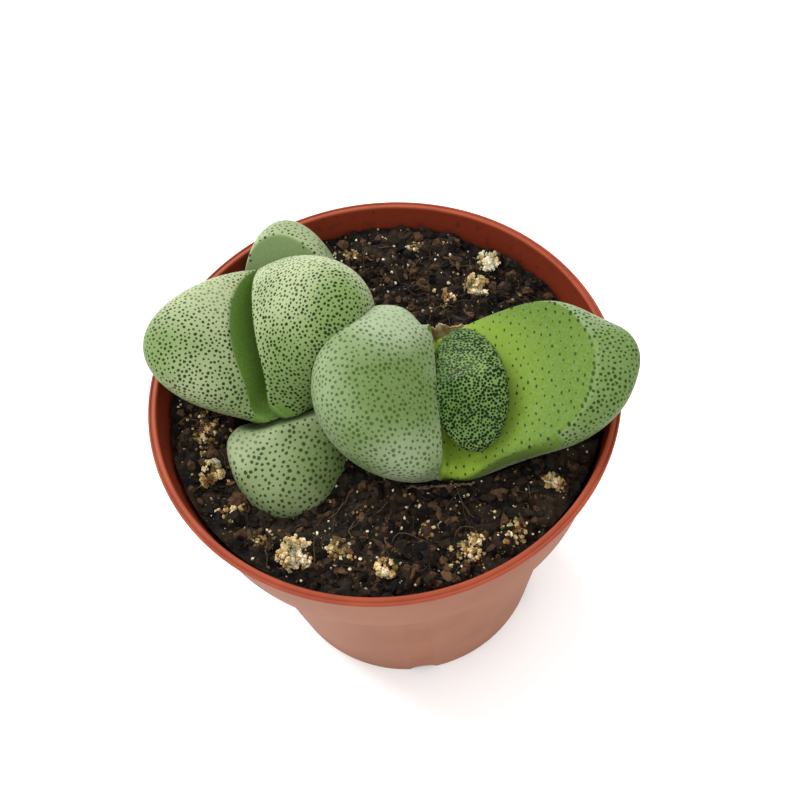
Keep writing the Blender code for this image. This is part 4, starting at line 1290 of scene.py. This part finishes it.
def random_turns(count, rng, tilt):
    """Random turns as 3 by 3 arrays: any heading, and a tilt up to a share of a quarter turn."""
    heading = rng.uniform(0.0, 2.0 * np.pi, count)
    lean = tilt * rng.uniform(-0.5, 0.5, count) * np.pi
    c, s, cl, sl = np.cos(heading), np.sin(heading), np.cos(lean), np.sin(lean)
    zero, one = 0.0 * c, 0.0 * c + 1.0
    spin = np.stack([np.stack([c, -s, zero], -1), np.stack([s, c, zero], -1), np.stack([zero, zero, one], -1)], 1)
    tip = np.stack([np.stack([one, zero, zero], -1), np.stack([zero, cl, -sl], -1),
                    np.stack([zero, sl, cl], -1)], 1)
    return spin @ tip


def scatter_bits(name, centres, sizes, rng, tilt, lumpiness, tones=None):
    """Many small lumps in one piece: a ball whose points are pushed in and out at random, sized and turned."""
    ball, quads, triangles = ball_lattice()
    count, each = len(centres), len(ball)
    radii = 1.0 + lumpiness * rng.uniform(-1.0, 1.0, (count, each, 1))
    local = ball * radii * sizes[:, None, :]
    turned_points = np.einsum("nij,nkj->nki", random_turns(count, rng, tilt), local)
    points = (turned_points + centres[:, None, :]).reshape(-1, 3)
    shifts = each * np.arange(count)[:, None, None]
    faces = [(quads + shifts).reshape(-1, 4), (triangles + shifts).reshape(-1, 3)]
    tones = rng.random(count) if tones is None else tones
    bits = put_object(name, points, faces, {"tone": np.repeat(tones, each)})
    bits.data.shade_flat()
    return bits


def grain_sizes(count, rng, radii, sides):
    """Half sizes of uneven grains: one size for each, times a share of its own along each of its three sides."""
    return rng.uniform(*radii, count)[:, None] * rng.uniform(*sides, (count, 3))


def clear_of_heads(places, planes, room):
    """Which places lie outside every head, by more than some room."""
    return np.all([depth_inside(places, plane) < -room for plane in planes], axis=0)


def soil_places(plan, rng, planes):
    """Random places on the soil's top that no head covers, a little above or below the surface."""
    tries = 3 * plan["count"]
    radius = plan["edge"] * np.sqrt(rng.random(tries))
    heading = rng.uniform(0.0, 2.0 * np.pi, tries)
    x, y = radius * np.cos(heading), radius * np.sin(heading)
    places = np.column_stack([x, y, soil_top(x, y) - plan["sink"]])
    return places[clear_of_heads(places, planes, plan["room"])][:plan["count"]]


def strew(name, places, sizes, rng, finish, slot, tones=None):
    """A piece of bits at these places, lumpy and tilted as its plan says."""
    plan = STREWN[name]
    finish_piece(scatter_bits(name, places, sizes, rng, plan["tilt"], plan["lumpiness"], tones), finish, slot)


def strew_crumbs(rng, planes):
    """Peat crumbs, most of them small: their size grows with the cube of a random number."""
    places = soil_places(STREWN["peat_crumbs"], rng, planes)
    count = len(places)
    sizes = (CRUMB_LEAST + CRUMB_MORE * rng.random(count) ** 3)[:, None] * rng.uniform(*CRUMB_SIDES, (count, 3))
    strew("peat_crumbs", places, sizes, rng, grain_finish("peat_crumb"), "dark_soil")


def strew_chips(rng, planes):
    """Flat chips of bark that lie on the soil, little tilted."""
    places = soil_places(STREWN["bark_chips"], rng, planes)
    length = rng.uniform(*CHIP_LENGTHS, len(places))
    sizes = np.column_stack([length, length * rng.uniform(*CHIP_WIDTHS, len(places)),
                             length * rng.uniform(*CHIP_THICKNESSES, len(places))])
    strew("bark_chips", places, sizes, rng, grain_finish("bark_chip"), "dark_soil")


def strew_grains(rng, planes, finish):
    """Pale grains: single ones all over the soil, and loose patches with a bell curve of grains round a place."""
    places = soil_places(STREWN["pale_grains"], rng, planes)
    sizes = grain_sizes(len(places), rng, STREWN_GRAIN_RADII, STREWN_GRAIN_SIDES)
    patches = []
    for x, y, radius, count in GRAIN_PATCHES:
        spread = rng.normal(size=(count, 2)) * radius * PATCH_SPREAD + np.array([x, y])
        patches.append(np.column_stack([spread, soil_top(*spread.T) + PATCH_LIFT]))
    patches = np.concatenate(patches)
    patches = patches[clear_of_heads(patches, planes, PATCH_ROOM)]
    sizes = np.concatenate([sizes, grain_sizes(len(patches), rng, GRAIN_RADII, PATCH_GRAIN_SIDES)])
    tones = np.concatenate([rng.random(len(places)), np.clip(rng.normal(*PATCH_TONES, len(patches)), 0.0, 1.0)])
    strew("pale_grains", np.concatenate([places, patches]), sizes, rng, finish, "cream_grit", tones)


def heap_grains(name, finish):
    """One cluster of grit: grains at random in a flattened ball, with gaps and tones by random waves."""
    x, y, radius, count, pale, seed = GRIT_CLUSTERS[name]
    rng = np.random.default_rng(seed)
    centre = np.array([x, y, soil_level(x, y) + GRIT_RISE * radius])
    way = rng.normal(size=(4 * count, 3))
    way /= np.linalg.norm(way, axis=1)[:, None]
    out = radius * rng.random(4 * count)[:, None] ** GRIT_CROWDING * np.array([1.0, 1.0, GRIT_SQUASH])
    spots = way * out
    gap_size, tone_size = (share * radius for share in GRIT_WAVES)
    spots = spots[rough(spots, gap_size, seed) > GRIT_GAPS][:count]
    sizes = grain_sizes(len(spots), rng, GRAIN_RADII, CLUSTER_GRAIN_SIDES)
    by_place, by_grain = GRIT_TONE_SPREAD
    tones = pale + by_place * rough(spots, tone_size, seed + 1) + rng.normal(0.0, by_grain, len(spots))
    grains = scatter_bits(name + "_grains", centre + spots, sizes, rng, 1.0, CLUSTER_LUMPINESS,
                          np.clip(tones, 0.0, 1.0))
    finish_piece(grains, finish, "cream_grit", name)


def strew_fibres(name, rng, planes):
    """Fibres: tubes along paths whose heading drifts at random, laid over the crumbs, thin at both ends."""
    plan = FIBRES[name]
    starts = soil_places(plan, rng, planes)
    count = len(starts)
    length = rng.uniform(*plan["lengths"], count)
    t = np.linspace(0.0, 1.0, FIBRE_STEPS)
    drift = np.cumsum(rng.normal(0.0, plan["curl"], (count, FIBRE_STEPS)), axis=1)
    heading = rng.uniform(0.0, 2.0 * np.pi, count)[:, None] + drift
    step = (length / FIBRE_STEPS)[:, None]
    x = starts[:, :1] + np.cumsum(np.cos(heading) * step, axis=1)
    y = starts[:, 1:2] + np.cumsum(np.sin(heading) * step, axis=1)
    arch = plan["arch"] * rng.random(count)[:, None] * np.sin(np.pi * t) + FIBRE_LEAST_ARCH
    crumbs = FIBRE_FOLLOWS * np.maximum(soil_crumbs(x, y), FIBRE_HOLLOW)
    path = np.stack([x, y, soil_level(x, y) + FIBRE_RISE + crumbs + arch], axis=-1)
    clear = clear_of_heads(path.reshape(-1, 3), planes, FIBRE_ROOM).reshape(count, FIBRE_STEPS)
    path = path[clear.all(axis=1) & (np.hypot(x, y).max(axis=1) < FIBRE_END)]
    count = len(path)
    thickness = FIBRE_END_SHARE + (1.0 - FIBRE_END_SHARE) * np.sin(np.pi * t) ** FIBRE_TAPER
    radius = rng.uniform(*plan["radii"], count)[:, None] * thickness
    return tube_bundle(name, path, radius, rng.random(count))


def tube_bundle(name, path, radius, tones):
    """Tubes with closed ends: a circle of the path's radius carried along each path, square to it."""
    count, steps, _ = path.shape
    sides = FIBRE_SIDES
    way = np.gradient(path, axis=1)
    way /= np.linalg.norm(way, axis=2, keepdims=True)
    side = np.cross(way, np.array([0.0, 0.0, 1.0]) + 0.0 * way)
    side /= np.maximum(np.linalg.norm(side, axis=2, keepdims=True), 1e-6)
    lift = np.cross(side, way)
    angle = 2.0 * np.pi * np.arange(sides) / sides
    ring = (np.cos(angle)[:, None] * side[:, :, None, :] + np.sin(angle)[:, None] * lift[:, :, None, :])
    points = (path[:, :, None, :] + radius[:, :, None, None] * ring).reshape(-1, 3)
    each = steps * sides
    shifts = each * np.arange(count)[:, None, None]
    quads = (grid_quads(steps, sides) + shifts).reshape(-1, 4)
    cap = np.arange(sides)[None, :]
    caps = (np.concatenate([cap[:, ::-1], cap + each - sides]) + shifts).reshape(-1, sides)
    return put_object(name, points, [quads, caps], {"tone": np.repeat(tones, each)})


def dress_soil_bits(planes):
    """Everything loose on the soil: peat crumbs, bark chips, pale grains, grit clusters and fibres."""
    grit = grain_finish("cream_grit_grain")
    rng = np.random.default_rng(STREWN_SEED)
    strew_crumbs(rng, planes)
    strew_chips(rng, planes)
    strew_grains(rng, planes, grit)
    for name in GRIT_CLUSTERS:
        heap_grains(name, grit)
    fibre = grain_finish("peat_fibre")
    rng = np.random.default_rng(FIBRE_SEED)
    for name in FIBRES:
        finish_piece(strew_fibres(name, rng, planes), fibre, "dark_soil")


# ---------------------------------------------------------------- dried leaf remains

def sheath_points(sheath, planes):
    """A strip's points: at each heading the way out to the head's hull, and a little more, with a flare and crinkles.

    The strip rises from its low edge to its high one, which is frayed by random waves and drops toward both ends.
    """
    normals, reaches = planes
    centre = np.array(PAIRS["right_old_pair"]["valley"])
    columns, rows = SHEATH_STEPS
    u, v = np.meshgrid(np.linspace(-1.0, 1.0, columns), np.linspace(0.0, 1.0, rows), indexing="ij")
    along, across = SHEATH_WAVE_SPAN
    heading = np.radians(sheath["heading"] + 0.5 * sheath["spread"] * u)
    edge = np.stack([along * u, 0.0 * u, 0.0 * u + sheath["heading"]], axis=-1)
    frays = sum(height * rough(edge, size, seed) for size, seed, height in SHEATH_FRAYS)
    rise = (sheath["high"] + sheath["ragged"] * frays - sheath["low"]) * (1.0 - SHEATH_END_DROP * u ** 4)
    height = sheath["low"] + v * rise
    way = np.stack([np.cos(heading), np.sin(heading), 0.0 * heading], axis=-1)
    start = np.stack([centre[0] + 0.0 * u, centre[1] + 0.0 * u, height], axis=-1)
    facing = way @ normals.T
    room = reaches - start @ normals.T
    reach = np.min(np.where(facing > LEAST_FACING, room / np.maximum(facing, LEAST_FACING), np.inf), axis=-1)
    size, seed, depth = SHEATH_CRINKLE
    crinkle = depth * rough(np.stack([along * u, across * v, 0.0 * u], axis=-1), size, seed)
    away = np.maximum(reach, 0.0) + SHEATH_STAND_OFF + SHEATH_FLARE * v + crinkle * (SHEATH_LOW_CRINKLE + v)
    return np.stack([centre[0] + away * way[..., 0], centre[1] + away * way[..., 1], height], axis=-1)


def dress_sheaths(planes):
    """Thin ragged strips of dried leaf, bent round the side of the right head and crinkled."""
    for name, sheath in SHEATHS.items():
        points = sheath_points(sheath, planes).reshape(-1, 3)
        strip = put_object(name + "_skin", points, [grid_quads(*SHEATH_STEPS, False)], closed=False)
        shell = strip.modifiers.new("Thickness", "SOLIDIFY")
        shell.thickness = SHEATH_THICKNESS * MM
        shell.offset = 0.0
        finish = papery_finish(name + "_paper", sheath["pale"], sheath["dark"])
        finish_piece(strip, finish, "papery_sheath", name)


# ---------------------------------------------------------------- stage

def set_camera():
    """The camera of the photograph: its fitted place, looking down at its elevation and turned by its roll."""
    elevation, roll = math.radians(CAMERA_ELEVATION), math.radians(CAMERA_ROLL)
    forward = Vector((0.0, math.cos(elevation), -math.sin(elevation)))
    right = Vector((1.0, 0.0, 0.0))
    down = Vector((0.0, -math.sin(elevation), -math.cos(elevation)))
    side = math.cos(roll) * right + math.sin(roll) * down
    under = -math.sin(roll) * right + math.cos(roll) * down
    data = bpy.data.cameras.new("camera")
    data.sensor_width = SENSOR_WIDTH
    data.lens = CAMERA_FOCAL_PIXELS * SENSOR_WIDTH / FRAME_HEIGHT_PIXELS
    data.clip_start = CAMERA_CLIP_START * MM
    camera = bpy.data.objects.new("camera", data)
    turn = Matrix((side, -under, -forward)).transposed().to_4x4()
    camera.matrix_world = Matrix.Translation(Vector(CAMERA_PLACE) * MM) @ turn
    bpy.context.scene.collection.objects.link(camera)
    bpy.context.scene.camera = camera


def soft_light(name, place, size, power):
    """A large square lamp, aimed at the plant."""
    data = bpy.data.lights.new(name, "AREA")
    data.size = size
    data.energy = power
    lamp = bpy.data.objects.new(name, data)
    lamp.location = place
    lamp.rotation_euler = (Vector(LAMP_AIM) - Vector(place)).to_track_quat("-Z", "Y").to_euler()
    bpy.context.scene.collection.objects.link(lamp)


def set_stage():
    """A white floor, white light all round and two large soft lamps from above."""
    corners = FLOOR_HALF * np.array([(-1.0, -1.0, 0.0), (1.0, -1.0, 0.0), (1.0, 1.0, 0.0), (-1.0, 1.0, 0.0)])
    floor = put_object("backdrop_floor", corners, [np.array([[0, 1, 2, 3]])], closed=False)
    floor.data.materials.append(floor_finish())
    world = bpy.data.worlds.new("white_studio")
    world.use_nodes = True
    sky = world.node_tree.nodes["Background"].inputs
    sky["Color"].default_value = (1.0, 1.0, 1.0, 1.0)
    sky["Strength"].default_value = STUDIO_LIGHT
    bpy.context.scene.world = world
    for name, lamp in LAMPS.items():
        soft_light(name, **lamp)
    bpy.context.scene.view_settings.view_transform = "Standard"


set_camera()
set_stage()
HEAD_PLANES = [hull_planes(head, (side,)) for head in IN_THE_SOIL for side in (1, -1)]
dress_pot()
dress_soil()
dress_soil_bits(HEAD_PLANES)
dress_pairs()
dress_sheaths(hull_planes("right_old_pair", (1, -1)))
ROOT_FINISH = root_finish()
for node in ("left_taproot", "right_taproot"):
    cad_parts[node].data.materials.clear()
    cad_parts[node].data.materials.append(ROOT_FINISH)
